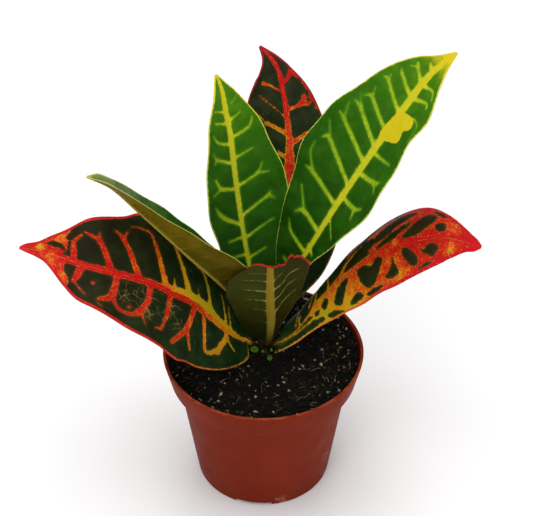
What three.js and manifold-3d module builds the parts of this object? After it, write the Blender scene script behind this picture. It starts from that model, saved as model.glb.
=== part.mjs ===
// A potted croton: seven broad leaves on a short stem, in a 12 cm plastic nursery pot of potting soil.
// Millimetres, +Z up. The origin is the centre of the pot's underside, and -Y is the front.

import * as THREE from 'three';
import Module from 'manifold-3d';
import { mergeVertices } from 'three/addons/utils/BufferGeometryUtils.js';

const wasm = await Module();
wasm.setup();

// Pot: a 12 cm nursery pot, 92 mm high
const POT_HEIGHT = 92;
const RIM_RADIUS = 60;
const RIM_BOTTOM_RADIUS = 56;
const RIM_BOTTOM_Z = 74.5;
const LIP_THICKNESS = 1.8;
const BODY_TOP_RADIUS = 51.5;
const BODY_BASE_RADIUS = 40.9;
const BASE_RADIUS = 40.3;
const WALL = 1.3;
const EDGE_ROUNDING = 0.5;
const FOOT_BEVEL = 1.2;
const POT_SIDES = 64;

// Underside: a raised floor inside a foot ring, with a flat pad in the middle
const FLOOR_UNDERSIDE_Z = 2.4;
const FLOOR_TOP_Z = 3.8;
const FOOT_RING_INNER_RADIUS = 37.5;
const CENTRE_PAD_RADIUS = 9;
const NOTCH_COUNT = 4;
const NOTCH_TURN = -98.7;
const NOTCH_ARC = 32;
const NOTCH_OUTER_RADIUS = 44;
const NOTCH_INNER_RADIUS = 36;
const DRAIN_COUNT = 8;
const DRAIN_RADIUS = 4.2;
const DRAIN_CIRCLE_RADIUS = 26;
const DRAIN_SIDES = 16;

// Soil: fills the pot to about 8 mm below its rim
const GAP = 0.3;
const SOIL_LEVEL = 84;
const SOIL_SIDES = 40;
const SOIL_RINGS = 9;
const SOIL_EDGE_DROP = 1.6;
const SOIL_EDGE_BELOW = 4;
const SOIL_MOUNDS = [
  { height: 1.1, turnX: 0.11, turnY: 0.13, startX: 1.3, startY: 1.2 },
  { height: 0.7, turnX: 0.23, turnY: 0.19, startX: 0.8, startY: 2 },
  { height: 0.35, turnX: 0.52, turnY: 0.47, startX: 2.1, startY: 0.6 },
];
const CUT_PAST = 9;
const HOLE_SIDES = 24;
const SMALL_HOLE_SIDES = 12;

// Stem: a short green-brown trunk, 25 mm of it in the soil
const STEM_X = 0;
const STEM_Y = 4;
const STEM_DEPTH = 25;
const STEM_ROOT_RADIUS = 3.6;
const STEM_ROOT_BEVEL = 1;
const STEM_SOIL_RADIUS = 3.9;
const STEM_TOP_RADIUS = 2.9;
const STEM_SHOULDER_Z = 112;
const STEM_TIP_Z = 121;
const BUD_OUTLINE = [[1, 0], [0.8, 0.3], [0.5, 0.65], [0.12, 1]];
const SCAR_HEIGHTS = [88, 92.5, 97, 101.5, 106];
const SCAR_SWELL = 0.35;
const SCAR_HALF_HEIGHT = 0.9;
const STEM_SIDES = 16;

// Leaves: blade thickness and the ridge of the midrib under it
const BLADE_THICKNESS = 0.7;
const RIDGE_DEPTH_FOOT = 1.6;
const RIDGE_DEPTH_TIP = 0.25;
const RIDGE_HALF_WIDTH = 1.9;
const RIDGE_TAPER = 0.6;
const RIDGE_WIDEST_SHARE = 0.3;
const COLUMN_SHARES = [0.36, 0.7, 1];
const PETIOLE_RINGS = 4;
const LOBE_PEAK = 0.045;
const LOBE_END = 0.22;
const LEFT_WAVE_LEAD = 0.35;
const SMALL_STEP = 0.001;

// Each leaf: rib is the midrib's path from inside the stem to the tip, and the blade begins at its second
// point. facing is the way the upper surface looks, at shares of the whole rib. The rest is at shares of the
// blade's length: left and right are the half widths, seen from above with the tip ahead, fold lifts a half
// and curl bends it, in degrees. lobe is how far a half's base reaches back, wave is the margin's height,
// count and start, and torn is how far a broken tip reaches, from the left margin at -1 to the right at 1.
const level = (value) => [[0, value], [1, value]];
const FLAT = { curlLeft: level(0), curlRight: level(0), lobeLeft: 0, lobeRight: 0, torn: level(0) };
const LEAVES = {
  leaf_low_left: {
    ...FLAT,
    rib: [[-1, 3.7, 86], [-9.6, 1.4, 98.2], [-20, -1, 113], [-48, -7, 142], [-86, -10, 162],
      [-114, -8, 169], [-137, -4, 172]],
    facing: [[0, [0.3, -0.55, 0.75]], [1, [0.1, -0.6, 0.8]]],
    left: [[0, 2], [0.02, 8.5], [0.045, 14.5], [0.08, 21], [0.13, 27.5], [0.2, 33.5], [0.3, 37.5], [0.4, 36],
      [0.5, 33], [0.6, 29], [0.7, 25], [0.8, 18], [0.88, 8], [0.95, 2.5], [1, 0.5]],
    right: [[0, 2], [0.04, 10], [0.1, 17], [0.2, 25], [0.3, 32], [0.4, 37], [0.5, 40], [0.6, 37.5],
      [0.7, 29], [0.8, 22], [0.9, 10], [0.95, 5], [1, 0.5]],
    foldLeft: level(8),
    foldRight: [[0, -6], [0.5, -2], [0.75, 8], [1, 8]],
    curlRight: [[0, -20], [0.5, -14], [0.8, 0], [1, 0]],
    lobeLeft: 14,
    lobeRight: 2,
    wave: [1.3, 5.5, 0.2],
    petioleRadius: 1.9,
    stations: 34,
    colour: 0x2a2f16,
  },
  leaf_mid_left: {
    ...FLAT,
    rib: [[-0.6, 3.8, 95], [-11, 4.5, 117.7], [-21, 4, 134.6], [-42, 4, 158.6], [-53, 4, 171.6],
      [-70.5, 5, 191.3], [-84, 6, 203.5], [-97, 6, 213.5]],
    facing: [[0, [0.68, 0.5, 0.5]], [0.5, [0.68, 0.44, 0.58]], [1, [0.5, 0.2, 0.85]]],
    left: [[0, 2], [0.05, 15], [0.1, 23], [0.2, 32], [0.3, 34], [0.4, 31], [0.5, 27], [0.6, 22.5],
      [0.7, 18], [0.8, 13.5], [0.9, 8], [0.96, 4.5], [1, 0.5]],
    right: [[0, 2], [0.05, 12], [0.1, 17], [0.2, 20], [0.3, 20], [0.4, 18.5], [0.5, 16.5], [0.6, 15],
      [0.7, 12.5], [0.8, 10], [0.9, 8.5], [0.96, 6], [1, 0.5]],
    foldLeft: [[0, 32], [0.6, 30], [1, 30]],
    foldRight: [[0, 46], [0.6, 44], [1, 42]],
    wave: [0.8, 5, 0.1],
    petioleRadius: 1.7,
    stations: 32,
    colour: 0x5a5a1e,
  },
  leaf_upper_left: {
    ...FLAT,
    rib: [[-0.1, 4.2, 97], [-4, 12.5, 118.5], [-8, 20, 139], [-12.5, 32, 168], [-17, 46, 200.5],
      [-23, 62, 231], [-27, 68, 241]],
    facing: [[0, [0.45, -0.7, 0.4]], [1, [0.4, -0.6, 0.5]]],
    left: [[0, 2], [0.05, 8], [0.1, 13], [0.2, 18], [0.3, 21], [0.4, 24], [0.5, 24.5], [0.6, 22],
      [0.7, 18.7], [0.8, 14.4], [0.9, 8], [0.95, 5], [1, 0.5]],
    right: [[0, 2], [0.05, 12], [0.1, 18], [0.2, 26], [0.3, 30], [0.4, 31.4], [0.5, 30.4], [0.6, 27.4],
      [0.7, 22.8], [0.8, 18], [0.9, 9.5], [0.95, 4], [1, 0.5]],
    foldLeft: level(14),
    foldRight: level(10),
    wave: [1, 5, 0.4],
    petioleRadius: 1.8,
    stations: 32,
    colour: 0x1f5c12,
  },
  leaf_back: {
    ...FLAT,
    rib: [[0.4, 4.6, 90.5], [9.5, 22, 120.5], [16.5, 35, 139.5], [15.5, 60, 169], [14, 80, 202],
      [8, 95, 226], [-2, 105, 238]],
    facing: [[0, [0.1, -0.8, 0.5]], [1, [0.1, -0.7, 0.6]]],
    left: [[0, 2], [0.05, 14], [0.1, 20], [0.2, 26], [0.3, 29], [0.4, 29], [0.5, 28], [0.6, 26],
      [0.7, 25], [0.8, 21], [0.9, 11], [0.95, 4], [1, 0.5]],
    right: [[0, 2], [0.05, 12], [0.1, 18], [0.2, 25], [0.3, 28.5], [0.4, 29], [0.5, 28], [0.6, 25],
      [0.7, 20.5], [0.8, 15], [0.9, 7], [0.95, 4], [1, 0.5]],
    foldLeft: level(8),
    foldRight: level(8),
    wave: [1.2, 5.5, 0],
    petioleRadius: 1.9,
    stations: 34,
    colour: 0x26301a,
  },
  leaf_upper_right: {
    ...FLAT,
    rib: [[0.6, 4, 97], [11, 6, 129], [23, 6, 158], [37.5, 8, 187], [60, 14, 225], [85, 24, 258],
      [104, 30, 278]],
    facing: [[0, [-0.6, -0.6, 0.4]], [1, [-0.6, -0.5, 0.5]]],
    left: [[0, 2], [0.05, 9], [0.1, 15], [0.2, 24], [0.3, 29], [0.4, 35.5], [0.5, 39], [0.6, 38],
      [0.7, 33], [0.8, 26.5], [0.9, 16], [0.95, 7.5], [1, 0.5]],
    right: [[0, 2], [0.05, 5], [0.1, 6], [0.2, 10], [0.3, 17], [0.4, 23.5], [0.5, 27], [0.6, 24.5],
      [0.7, 21], [0.8, 20.5], [0.9, 10.5], [0.95, 3.5], [1, 0.5]],
    foldLeft: level(8),
    foldRight: level(16),
    wave: [1.2, 5.5, 0.3],
    petioleRadius: 2,
    stations: 36,
    colour: 0x245f12,
  },
  leaf_low_right: {
    ...FLAT,
    rib: [[0.8, 3.8, 86.6], [9.5, 2, 96.5], [21.5, 2, 109], [41.5, 4, 138], [61, 4, 157], [77.5, 2, 168],
      [102, -2, 177], [122, -8, 175.5]],
    facing: [[0, [-0.5, -0.5, 0.75]], [1, [-0.1, -0.5, 0.85]]],
    left: [[0, 2], [0.05, 8], [0.1, 12], [0.2, 16], [0.3, 20], [0.4, 23], [0.5, 26], [0.6, 29],
      [0.7, 29], [0.8, 23.5], [0.9, 11], [0.95, 5], [1, 0.5]],
    right: [[0, 2], [0.04, 6.5], [0.1, 6.5], [0.2, 9], [0.3, 14.5], [0.4, 19], [0.5, 20.5], [0.6, 21],
      [0.7, 19.5], [0.8, 16], [0.9, 11], [0.95, 5], [1, 0.5]],
    foldLeft: level(5),
    foldRight: [[0, 14], [0.2, 4], [1, 0]],
    curlLeft: [[0, -30], [0.15, -80], [0.35, -105], [0.5, -95], [0.65, -75], [0.8, -45], [1, -10]],
    curlRight: [[0, -15], [1, -15]],
    lobeRight: 10,
    wave: [0.8, 5, 0.6],
    petioleRadius: 1.9,
    stations: 34,
    colour: 0xb04018,
  },
  leaf_front_small: {
    ...FLAT,
    rib: [[0.3, 3, 91], [3, -2.4, 100], [4.5, -9.5, 123.2], [4, -15, 142.4], [4, -18.5, 160.6],
      [4, -21, 172]],
    facing: [[0, [0.2, 0.9, 0.1]], [1, [0.2, 0.9, 0.1]]],
    left: [[0, 2], [0.1, 4.5], [0.2, 6], [0.3, 8], [0.4, 10], [0.5, 13], [0.6, 15.5], [0.7, 18],
      [0.8, 20], [0.9, 21.5], [1, 22]],
    right: [[0, 2], [0.1, 10], [0.2, 15], [0.3, 19], [0.4, 22], [0.5, 24.5], [0.6, 26], [0.7, 26],
      [0.8, 24.5], [0.9, 20], [1, 15]],
    foldLeft: level(15),
    foldRight: level(5),
    wave: [0.7, 3, 0],
    petioleRadius: 1.5,
    stations: 22,
    colour: 0x3a3c16,
    torn: [[-1, 4], [-0.75, 8], [-0.45, 7], [-0.25, 1], [0, 0], [0.4, -0.5], [0.7, -3], [1, -9]],
  },
};

// Weed seedlings at the stem's foot: each leaflet is its centre, its radius and the way it faces
const SEEDLING_STALK_RADIUS = 0.5;
const SEEDLING_DEPTH = 4;
const SEEDLING_CROWN = 3;
const STALK_SIDES = 8;
const LEAFLET_HALF_THICKNESS = 0.5;
const SIDE_STALK_RADIUS = 0.45;
const SEEDLING_COLOUR = 0x4f7f26;
const SEEDLINGS = {
  seedling_left: {
    root: [-4.2, -4.4],
    leaflets: [{ centre: [-5.2, -3, 93.8], radius: 2.6, facing: [-0.1, -0.5, 0.85] }],
  },
  seedling_front: {
    root: [2.4, -7.6],
    leaflets: [
      { centre: [4.6, -7.4, 97.6], radius: 1.5, facing: [0.2, -0.6, 0.8] },
      { centre: [3.6, -9.4, 93.4], radius: 2.2, facing: [0.3, -0.7, 0.6] },
      { centre: [-0.2, -7.2, 96.6], radius: 1.3, facing: [-0.3, -0.5, 0.8] },
    ],
  },
};

const vec = (p) => new THREE.Vector3(p[0], p[1], p[2]);
const radians = THREE.MathUtils.degToRad;

// A smooth curve through [share, value] pairs, where a value is a number or an [x, y, z]
function through(pairs) {
  const count = pairs.length;
  const size = Array.isArray(pairs[0][1]) ? 3 : 1;
  const values = pairs.map((pair) => (size === 3 ? pair[1] : [pair[1]]));
  const slope = (a, b, n) => (values[b][n] - values[a][n]) / (pairs[b][0] - pairs[a][0]);
  return (share) => {
    const s = THREE.MathUtils.clamp(share, pairs[0][0], pairs[count - 1][0]);
    let k = 0;
    while (k < count - 2 && s > pairs[k + 1][0]) k += 1;
    const step = pairs[k + 1][0] - pairs[k][0];
    const u = (s - pairs[k][0]) / step;
    const out = [];
    for (let n = 0; n < size; n += 1) {
      const start = slope(Math.max(k - 1, 0), k + 1, n) * step;
      const end = slope(k, Math.min(k + 2, count - 1), n) * step;
      out.push((2 * u ** 3 - 3 * u ** 2 + 1) * values[k][n] + (u ** 3 - 2 * u ** 2 + u) * start
        + (3 * u ** 2 - 2 * u ** 3) * values[k + 1][n] + (u ** 3 - u ** 2) * end);
    }
    return size === 3 ? out : out[0];
  };
}

// The leaf's surface as a function of the way along its rib and the share of its half width
function leafSurface(leaf) {
  const distances = [0];
  for (let n = 1; n < leaf.rib.length; n += 1) {
    distances.push(distances[n - 1] + vec(leaf.rib[n]).distanceTo(vec(leaf.rib[n - 1])));
  }
  const total = distances[distances.length - 1];
  const ribCurve = through(leaf.rib.map((point, n) => [distances[n] / total, point]));
  const footShare = distances[1] / total;
  const facing = through(leaf.facing);
  const half = { left: through(leaf.left), right: through(leaf.right) };
  const fold = { left: through(leaf.foldLeft), right: through(leaf.foldRight) };
  const curl = { left: through(leaf.curlLeft), right: through(leaf.curlRight) };
  const torn = through(leaf.torn);
  const bladeShare = (t) => THREE.MathUtils.clamp((t - footShare) / (1 - footShare), 0, 1);

  const frame = (t) => {
    const centre = vec(ribCurve(t));
    const before = vec(ribCurve(Math.max(t - SMALL_STEP, 0)));
    const ahead = vec(ribCurve(Math.min(t + SMALL_STEP, 1))).sub(before).normalize();
    const up = vec(facing(t));
    up.addScaledVector(ahead, -up.dot(ahead)).normalize();
    return { centre, ahead, up, right: ahead.clone().cross(up) };
  };

  const lobe = (share, side) => {
    const reach = side === 'left' ? leaf.lobeLeft : leaf.lobeRight;
    if (share < LOBE_PEAK) return reach * Math.sin((Math.PI / 2) * (share / LOBE_PEAK));
    if (share > LOBE_END) return 0;
    return reach * Math.cos((Math.PI / 2) * ((share - LOBE_PEAK) / (LOBE_END - LOBE_PEAK))) ** 2;
  };

  const point = (t, across) => {
    const { centre, ahead, up, right } = frame(t);
    const share = bladeShare(t);
    const side = across < 0 ? 'left' : 'right';
    const sign = across < 0 ? -1 : 1;
    const reach = Math.abs(across);
    const width = half[side](share);
    const lift = radians(fold[side](share));
    const bend = radians(curl[side](share)) || SMALL_STEP;
    const out = (width * (Math.sin(lift + bend * reach) - Math.sin(lift))) / bend;
    let rise = (width * (Math.cos(lift) - Math.cos(lift + bend * reach))) / bend;
    const [waveHeight, waveCount, waveStart] = leaf.wave;
    const turn = waveCount * share + waveStart + (side === 'left' ? LEFT_WAVE_LEAD : 0);
    rise += waveHeight * reach ** 2 * Math.sin(2 * Math.PI * turn) * Math.sin(Math.PI * share);
    const forward = torn(across) * share ** 2 - lobe(share, side) * reach ** 2;
    return centre.clone().addScaledVector(right, sign * out).addScaledVector(up, rise)
      .addScaledVector(ahead, forward);
  };
  return { point, frame, footShare, width: half };
}

// A closed mesh from rings of points. Each end is closed by a strip across it, which suits a ring that runs
// over the top of a blade and back under it, or by a fan from its middle, which suits a round one.
function loft(rings, ends) {
  const count = rings[0].length;
  const last = (rings.length - 1) * count;
  const points = rings.flat();
  const triangles = [];
  for (let i = 0; i < rings.length - 1; i += 1) {
    for (let k = 0; k < count; k += 1) {
      const a = i * count + k;
      const b = i * count + ((k + 1) % count);
      triangles.push(a, b, b + count, a, b + count, a + count);
    }
  }
  if (ends === 'strip') {
    for (let k = 0; k < count / 2 - 1; k += 1) {
      const back = count - 1 - k;
      triangles.push(k, back, back - 1, k, back - 1, k + 1);
      triangles.push(last + k, last + back - 1, last + back, last + k, last + k + 1, last + back - 1);
    }
  } else {
    const middle = points.length;
    points.push(average(rings[0]), average(rings[rings.length - 1]));
    for (let k = 0; k < count; k += 1) {
      const next = (k + 1) % count;
      triangles.push(middle, next, k, middle + 1, last + k, last + next);
    }
  }
  return geometryOf(points, triangles);
}

function average(points) {
  const sum = points.reduce((total, p) => total.add(p), new THREE.Vector3());
  return sum.divideScalar(points.length);
}

function geometryOf(points, triangles) {
  const geometry = new THREE.BufferGeometry();
  geometry.setAttribute('position', new THREE.Float32BufferAttribute(points.flatMap((p) => p.toArray()), 3));
  geometry.setIndex(triangles);
  return geometry;
}

// One leaf: a round petiole that opens into a thin blade with a midrib below
function leafGeometry(leaf) {
  const surface = leafSurface(leaf);
  const rings = [];
  const columns = 2 * (COLUMN_SHARES.length + 1) + 1;
  for (let i = 0; i < PETIOLE_RINGS; i += 1) {
    const t = (surface.footShare * i) / PETIOLE_RINGS;
    const { centre, up, right } = surface.frame(t);
    const ring = [];
    for (let k = 0; k < 2 * columns; k += 1) {
      const angle = Math.PI * (1 - (k + 0.5) / columns);
      ring.push(centre.clone().addScaledVector(right, leaf.petioleRadius * Math.cos(angle))
        .addScaledVector(up, leaf.petioleRadius * Math.sin(angle)));
    }
    rings.push(ring);
  }
  for (let i = 0; i <= leaf.stations; i += 1) {
    const even = i / leaf.stations;
    const crowded = 0.5 * (1 - Math.cos(Math.PI * even));
    const share = 0.5 * (even + crowded);
    const t = surface.footShare + (1 - surface.footShare) * share;
    rings.push(bladeRing(surface, t, share));
  }
  return loft(rings, 'strip');
}

function bladeRing(surface, t, share) {
  const ridgeHalf = RIDGE_HALF_WIDTH * (1 - RIDGE_TAPER * share);
  const inner = (side) => Math.min(RIDGE_WIDEST_SHARE, ridgeHalf / surface.width[side](share));
  const spread = (side) => [inner(side), ...COLUMN_SHARES.map((s) => inner(side) + s * (1 - inner(side)))];
  const across = [...spread('left').map((v) => -v).reverse(), 0, ...spread('right')];
  const top = [];
  const bottom = [];
  const ridge = THREE.MathUtils.lerp(RIDGE_DEPTH_FOOT, RIDGE_DEPTH_TIP, Math.sqrt(share));
  for (const v of across) {
    const here = surface.point(t, v);
    const normal = surfaceNormal(surface, t, v);
    top.push(here.clone().addScaledVector(normal, BLADE_THICKNESS / 2));
    const below = BLADE_THICKNESS / 2 + (v === 0 ? ridge : 0);
    bottom.push(here.clone().addScaledVector(normal, -below));
  }
  return [...top, ...bottom.reverse()];
}

function surfaceNormal(surface, t, v) {
  const low = Math.max(v - SMALL_STEP, -1);
  const high = Math.min(v + SMALL_STEP, 1);
  const acrossWay = surface.point(t, high).sub(surface.point(t, low));
  const { ahead } = surface.frame(t);
  const normal = acrossWay.cross(ahead).normalize();
  return v === 0 ? surface.frame(t).up : normal;
}

// Turns a geometry into a solid for cutting and joining, and back
function solidOf(geometry) {
  const bare = geometry.clone();
  bare.deleteAttribute('normal');
  bare.deleteAttribute('uv');
  const merged = mergeVertices(bare, 1e-4);
  const vertProperties = new Float32Array(merged.attributes.position.array);
  const triVerts = new Uint32Array(merged.index.array);
  return new wasm.Manifold(new wasm.Mesh({ numProp: 3, vertProperties, triVerts }));
}

function geometryFrom(solid) {
  const mesh = solid.getMesh();
  const geometry = new THREE.BufferGeometry();
  geometry.setAttribute('position', new THREE.Float32BufferAttribute(mesh.vertProperties, 3));
  geometry.setIndex([...mesh.triVerts]);
  return geometry;
}

// A shape turned round an upright axis, from [radius, height] points in order from the bottom
function turned(profile, sides, x = 0, y = 0) {
  const geometry = new THREE.LatheGeometry(profile.map(([r, z]) => new THREE.Vector2(r, z)), sides);
  geometry.rotateX(Math.PI / 2);
  geometry.translate(x, y, 0);
  return geometry;
}

// An upright round bar, for holes
function bar(radius, bottom, top, x, y, sides) {
  const geometry = new THREE.CylinderGeometry(radius, radius, top - bottom, sides);
  geometry.rotateX(Math.PI / 2);
  geometry.translate(x, y, (top + bottom) / 2);
  return geometry;
}

// The outside radius of the pot's body and of its rim band, at a height
function bodyRadius(z) {
  return THREE.MathUtils.mapLinear(z, 0, RIM_BOTTOM_Z, BODY_BASE_RADIUS, BODY_TOP_RADIUS);
}

function rimRadius(z) {
  return THREE.MathUtils.mapLinear(z, RIM_BOTTOM_Z, POT_HEIGHT, RIM_BOTTOM_RADIUS, RIM_RADIUS);
}

// The pot: a tapered body with a wider rim band, a raised floor with drain holes, and a notched foot ring
function potGeometry() {
  const shoulderZ = RIM_BOTTOM_Z + WALL;
  const outline = [
    [0, 0],
    [CENTRE_PAD_RADIUS, 0],
    [CENTRE_PAD_RADIUS + EDGE_ROUNDING, FLOOR_UNDERSIDE_Z],
    [FOOT_RING_INNER_RADIUS - EDGE_ROUNDING, FLOOR_UNDERSIDE_Z],
    [FOOT_RING_INNER_RADIUS, 0],
    [BASE_RADIUS, 0],
    [bodyRadius(FOOT_BEVEL), FOOT_BEVEL],
    [BODY_TOP_RADIUS, RIM_BOTTOM_Z],
    [RIM_BOTTOM_RADIUS - EDGE_ROUNDING, RIM_BOTTOM_Z],
    [RIM_BOTTOM_RADIUS, RIM_BOTTOM_Z + EDGE_ROUNDING],
    [RIM_RADIUS, POT_HEIGHT - EDGE_ROUNDING],
    [RIM_RADIUS - EDGE_ROUNDING, POT_HEIGHT],
    [RIM_RADIUS - LIP_THICKNESS + EDGE_ROUNDING, POT_HEIGHT],
    [RIM_RADIUS - LIP_THICKNESS, POT_HEIGHT - EDGE_ROUNDING],
    [rimRadius(shoulderZ) - LIP_THICKNESS, shoulderZ],
    [bodyRadius(shoulderZ) - WALL, shoulderZ],
    [bodyRadius(FLOOR_TOP_Z) - WALL, FLOOR_TOP_Z],
    [0, FLOOR_TOP_Z],
  ];
  let pot = solidOf(turned(outline, POT_SIDES));
  for (let n = 0; n < DRAIN_COUNT; n += 1) {
    const angle = (2 * Math.PI * (n + 0.5)) / DRAIN_COUNT;
    const x = DRAIN_CIRCLE_RADIUS * Math.cos(angle);
    const y = DRAIN_CIRCLE_RADIUS * Math.sin(angle);
    pot = pot.subtract(solidOf(bar(DRAIN_RADIUS, 0, FLOOR_TOP_Z + CUT_PAST, x, y, DRAIN_SIDES)));
  }
  for (let n = 0; n < NOTCH_COUNT; n += 1) {
    pot = pot.subtract(solidOf(notchGeometry(radians(NOTCH_TURN + (360 / NOTCH_COUNT) * n))));
  }
  return geometryFrom(pot);
}

// One low gap in the foot ring: a piece of a flat ring, as high as the raised floor
function notchGeometry(middle) {
  const shape = new THREE.Shape();
  const start = middle - radians(NOTCH_ARC / 2);
  const end = middle + radians(NOTCH_ARC / 2);
  shape.absarc(0, 0, NOTCH_OUTER_RADIUS, start, end, false);
  shape.absarc(0, 0, NOTCH_INNER_RADIUS, end, start, true);
  shape.closePath();
  const depth = FLOOR_UNDERSIDE_Z + CUT_PAST;
  const geometry = new THREE.ExtrudeGeometry(shape, { depth, bevelEnabled: false, curveSegments: 8 });
  geometry.translate(0, 0, -CUT_PAST);
  return geometry;
}

// The soil's surface: low mounds and hollows, a little lower at the pot's wall
function soilHeight(x, y) {
  const radius = Math.hypot(x, y) / (RIM_RADIUS - LIP_THICKNESS);
  let height = SOIL_LEVEL - SOIL_EDGE_DROP * radius ** 4;
  for (const mound of SOIL_MOUNDS) {
    const alongX = Math.sin(x * mound.turnX + mound.startX);
    const alongY = Math.sin(y * mound.turnY + mound.startY);
    height += mound.height * alongX * alongY;
  }
  return height;
}

// The soil: fills the pot below an uneven surface, with plain holes for the stem and the seedlings
function soilGeometry() {
  const bottomZ = FLOOR_TOP_Z + GAP;
  const ledgeZ = RIM_BOTTOM_Z + WALL + GAP;
  const edge = rimRadius(SOIL_LEVEL - SOIL_EDGE_BELOW) - LIP_THICKNESS - 2 * GAP;
  const sides = [
    [bodyRadius(bottomZ) - WALL - 2 * GAP, bottomZ],
    [bodyRadius(ledgeZ) - WALL - 2 * GAP, ledgeZ],
    [rimRadius(ledgeZ) - LIP_THICKNESS - 2 * GAP, ledgeZ],
  ];
  const ring = (radius, height) => {
    const points = [];
    for (let k = 0; k < SOIL_SIDES; k += 1) {
      const angle = (2 * Math.PI * k) / SOIL_SIDES;
      const x = radius * Math.cos(angle);
      const y = radius * Math.sin(angle);
      points.push(new THREE.Vector3(x, y, height === undefined ? soilHeight(x, y) : height));
    }
    return points;
  };
  const rings = sides.map(([radius, height]) => ring(radius, height));
  for (let n = SOIL_RINGS; n > 0; n -= 1) rings.push(ring((edge * n) / SOIL_RINGS));
  let soil = solidOf(loft(rings, 'fan'));
  const top = SOIL_LEVEL + CUT_PAST;
  const stemBottom = SOIL_LEVEL - STEM_DEPTH - GAP;
  soil = soil.subtract(solidOf(bar(STEM_SOIL_RADIUS + GAP, stemBottom, top, STEM_X, STEM_Y, HOLE_SIDES)));
  for (const { root } of Object.values(SEEDLINGS)) {
    const bottom = SOIL_LEVEL - SEEDLING_DEPTH - GAP;
    const hole = bar(SEEDLING_STALK_RADIUS + GAP, bottom, top, root[0], root[1], SMALL_HOLE_SIDES);
    soil = soil.subtract(solidOf(hole));
  }
  return geometryFrom(soil);
}

// The stem's outline, grown by the given amount: leaf scars as low rings, and a pointed bud on top
function stemProfile(grow) {
  const foot = STEM_SOIL_RADIUS - SCAR_SWELL;
  const radiusAt = (z) => THREE.MathUtils.mapLinear(z, SOIL_LEVEL, STEM_SHOULDER_Z, foot, STEM_TOP_RADIUS);
  const profile = [
    [0, SOIL_LEVEL - STEM_DEPTH - grow],
    [STEM_ROOT_RADIUS - STEM_ROOT_BEVEL + grow, SOIL_LEVEL - STEM_DEPTH - grow],
    [STEM_ROOT_RADIUS + grow, SOIL_LEVEL - STEM_DEPTH + STEM_ROOT_BEVEL],
    [radiusAt(SOIL_LEVEL) + grow, SOIL_LEVEL],
  ];
  for (const z of SCAR_HEIGHTS) {
    profile.push([radiusAt(z - SCAR_HALF_HEIGHT) + grow, z - SCAR_HALF_HEIGHT]);
    profile.push([radiusAt(z) + SCAR_SWELL + grow, z]);
    profile.push([radiusAt(z + SCAR_HALF_HEIGHT) + grow, z + SCAR_HALF_HEIGHT]);
  }
  for (const [width, height] of BUD_OUTLINE) {
    const z = THREE.MathUtils.lerp(STEM_SHOULDER_Z, STEM_TIP_Z, height);
    profile.push([STEM_TOP_RADIUS * width + grow, z]);
  }
  profile.push([0, STEM_TIP_Z + grow]);
  return profile;
}

function stemGeometry() {
  return turned(stemProfile(0), STEM_SIDES, STEM_X, STEM_Y);
}

// A leaf's petiole starts inside the stem, and is cut back to a saddle that sits on the bark
function seatedLeaf(leaf, stemRoom) {
  return geometryFrom(solidOf(leafGeometry(leaf)).subtract(stemRoom));
}

// A seedling: thin stalks from one root, each with a small round leaflet, joined as one
function seedlingGeometry({ root, leaflets }) {
  const base = new THREE.Vector3(root[0], root[1], SOIL_LEVEL - SEEDLING_DEPTH);
  const crown = new THREE.Vector3(root[0], root[1], SOIL_LEVEL + SEEDLING_CROWN);
  let plant = solidOf(bar(SEEDLING_STALK_RADIUS, base.z, crown.z, root[0], root[1], STALK_SIDES));
  for (const leaflet of leaflets) {
    const centre = vec(leaflet.centre);
    const stalk = new THREE.LineCurve3(crown.clone().setZ(crown.z - SEEDLING_STALK_RADIUS), centre);
    plant = plant.add(solidOf(rodAlong(stalk, SIDE_STALK_RADIUS)));
    const disc = new THREE.SphereGeometry(1, 10, 4);
    disc.scale(leaflet.radius, leaflet.radius, LEAFLET_HALF_THICKNESS);
    const facing = vec(leaflet.facing).normalize();
    disc.applyQuaternion(new THREE.Quaternion().setFromUnitVectors(new THREE.Vector3(0, 0, 1), facing));
    disc.translate(centre.x, centre.y, centre.z);
    plant = plant.add(solidOf(disc));
  }
  return geometryFrom(plant);
}

function rodAlong(line, radius) {
  const circle = new THREE.Shape().absarc(0, 0, radius, 0, 2 * Math.PI, false);
  return new THREE.ExtrudeGeometry(circle, { steps: 1, curveSegments: 3, extrudePath: line });
}

function sheen(colour, roughness) {
  return new THREE.MeshStandardMaterial({ color: colour, roughness, metalness: 0 });
}

// The whole plant, piece by piece
const croton = new THREE.Group();
croton.name = 'potted_croton';

function place(name, geometry, material) {
  const mesh = new THREE.Mesh(geometry, material);
  mesh.name = name;
  croton.add(mesh);
}

place('pot', potGeometry(), sheen(0x8a3a24, 0.55));
place('soil', soilGeometry(), sheen(0x1d1712, 0.95));
place('stem', stemGeometry(), sheen(0x4c4a20, 0.7));

const stemRoom = solidOf(turned(stemProfile(GAP), STEM_SIDES, STEM_X, STEM_Y));
for (const [name, leaf] of Object.entries(LEAVES)) {
  place(name, seatedLeaf(leaf, stemRoom), sheen(leaf.colour, 0.4));
}
for (const [name, seedling] of Object.entries(SEEDLINGS)) {
  place(name, seedlingGeometry(seedling), sheen(SEEDLING_COLOUR, 0.5));
}

export default croton;
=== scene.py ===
"""A potted croton: seven broad painted leaves on a short stem, in a plastic nursery pot of potting soil.

Tables of the plant, the pot and the soil are in millimetres and degrees, and MM turns them into the scene's
metres. The camera, the light and the floor are in metres.
"""

import math

import bmesh
import bpy
import numpy as np
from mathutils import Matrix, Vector, noise


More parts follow.
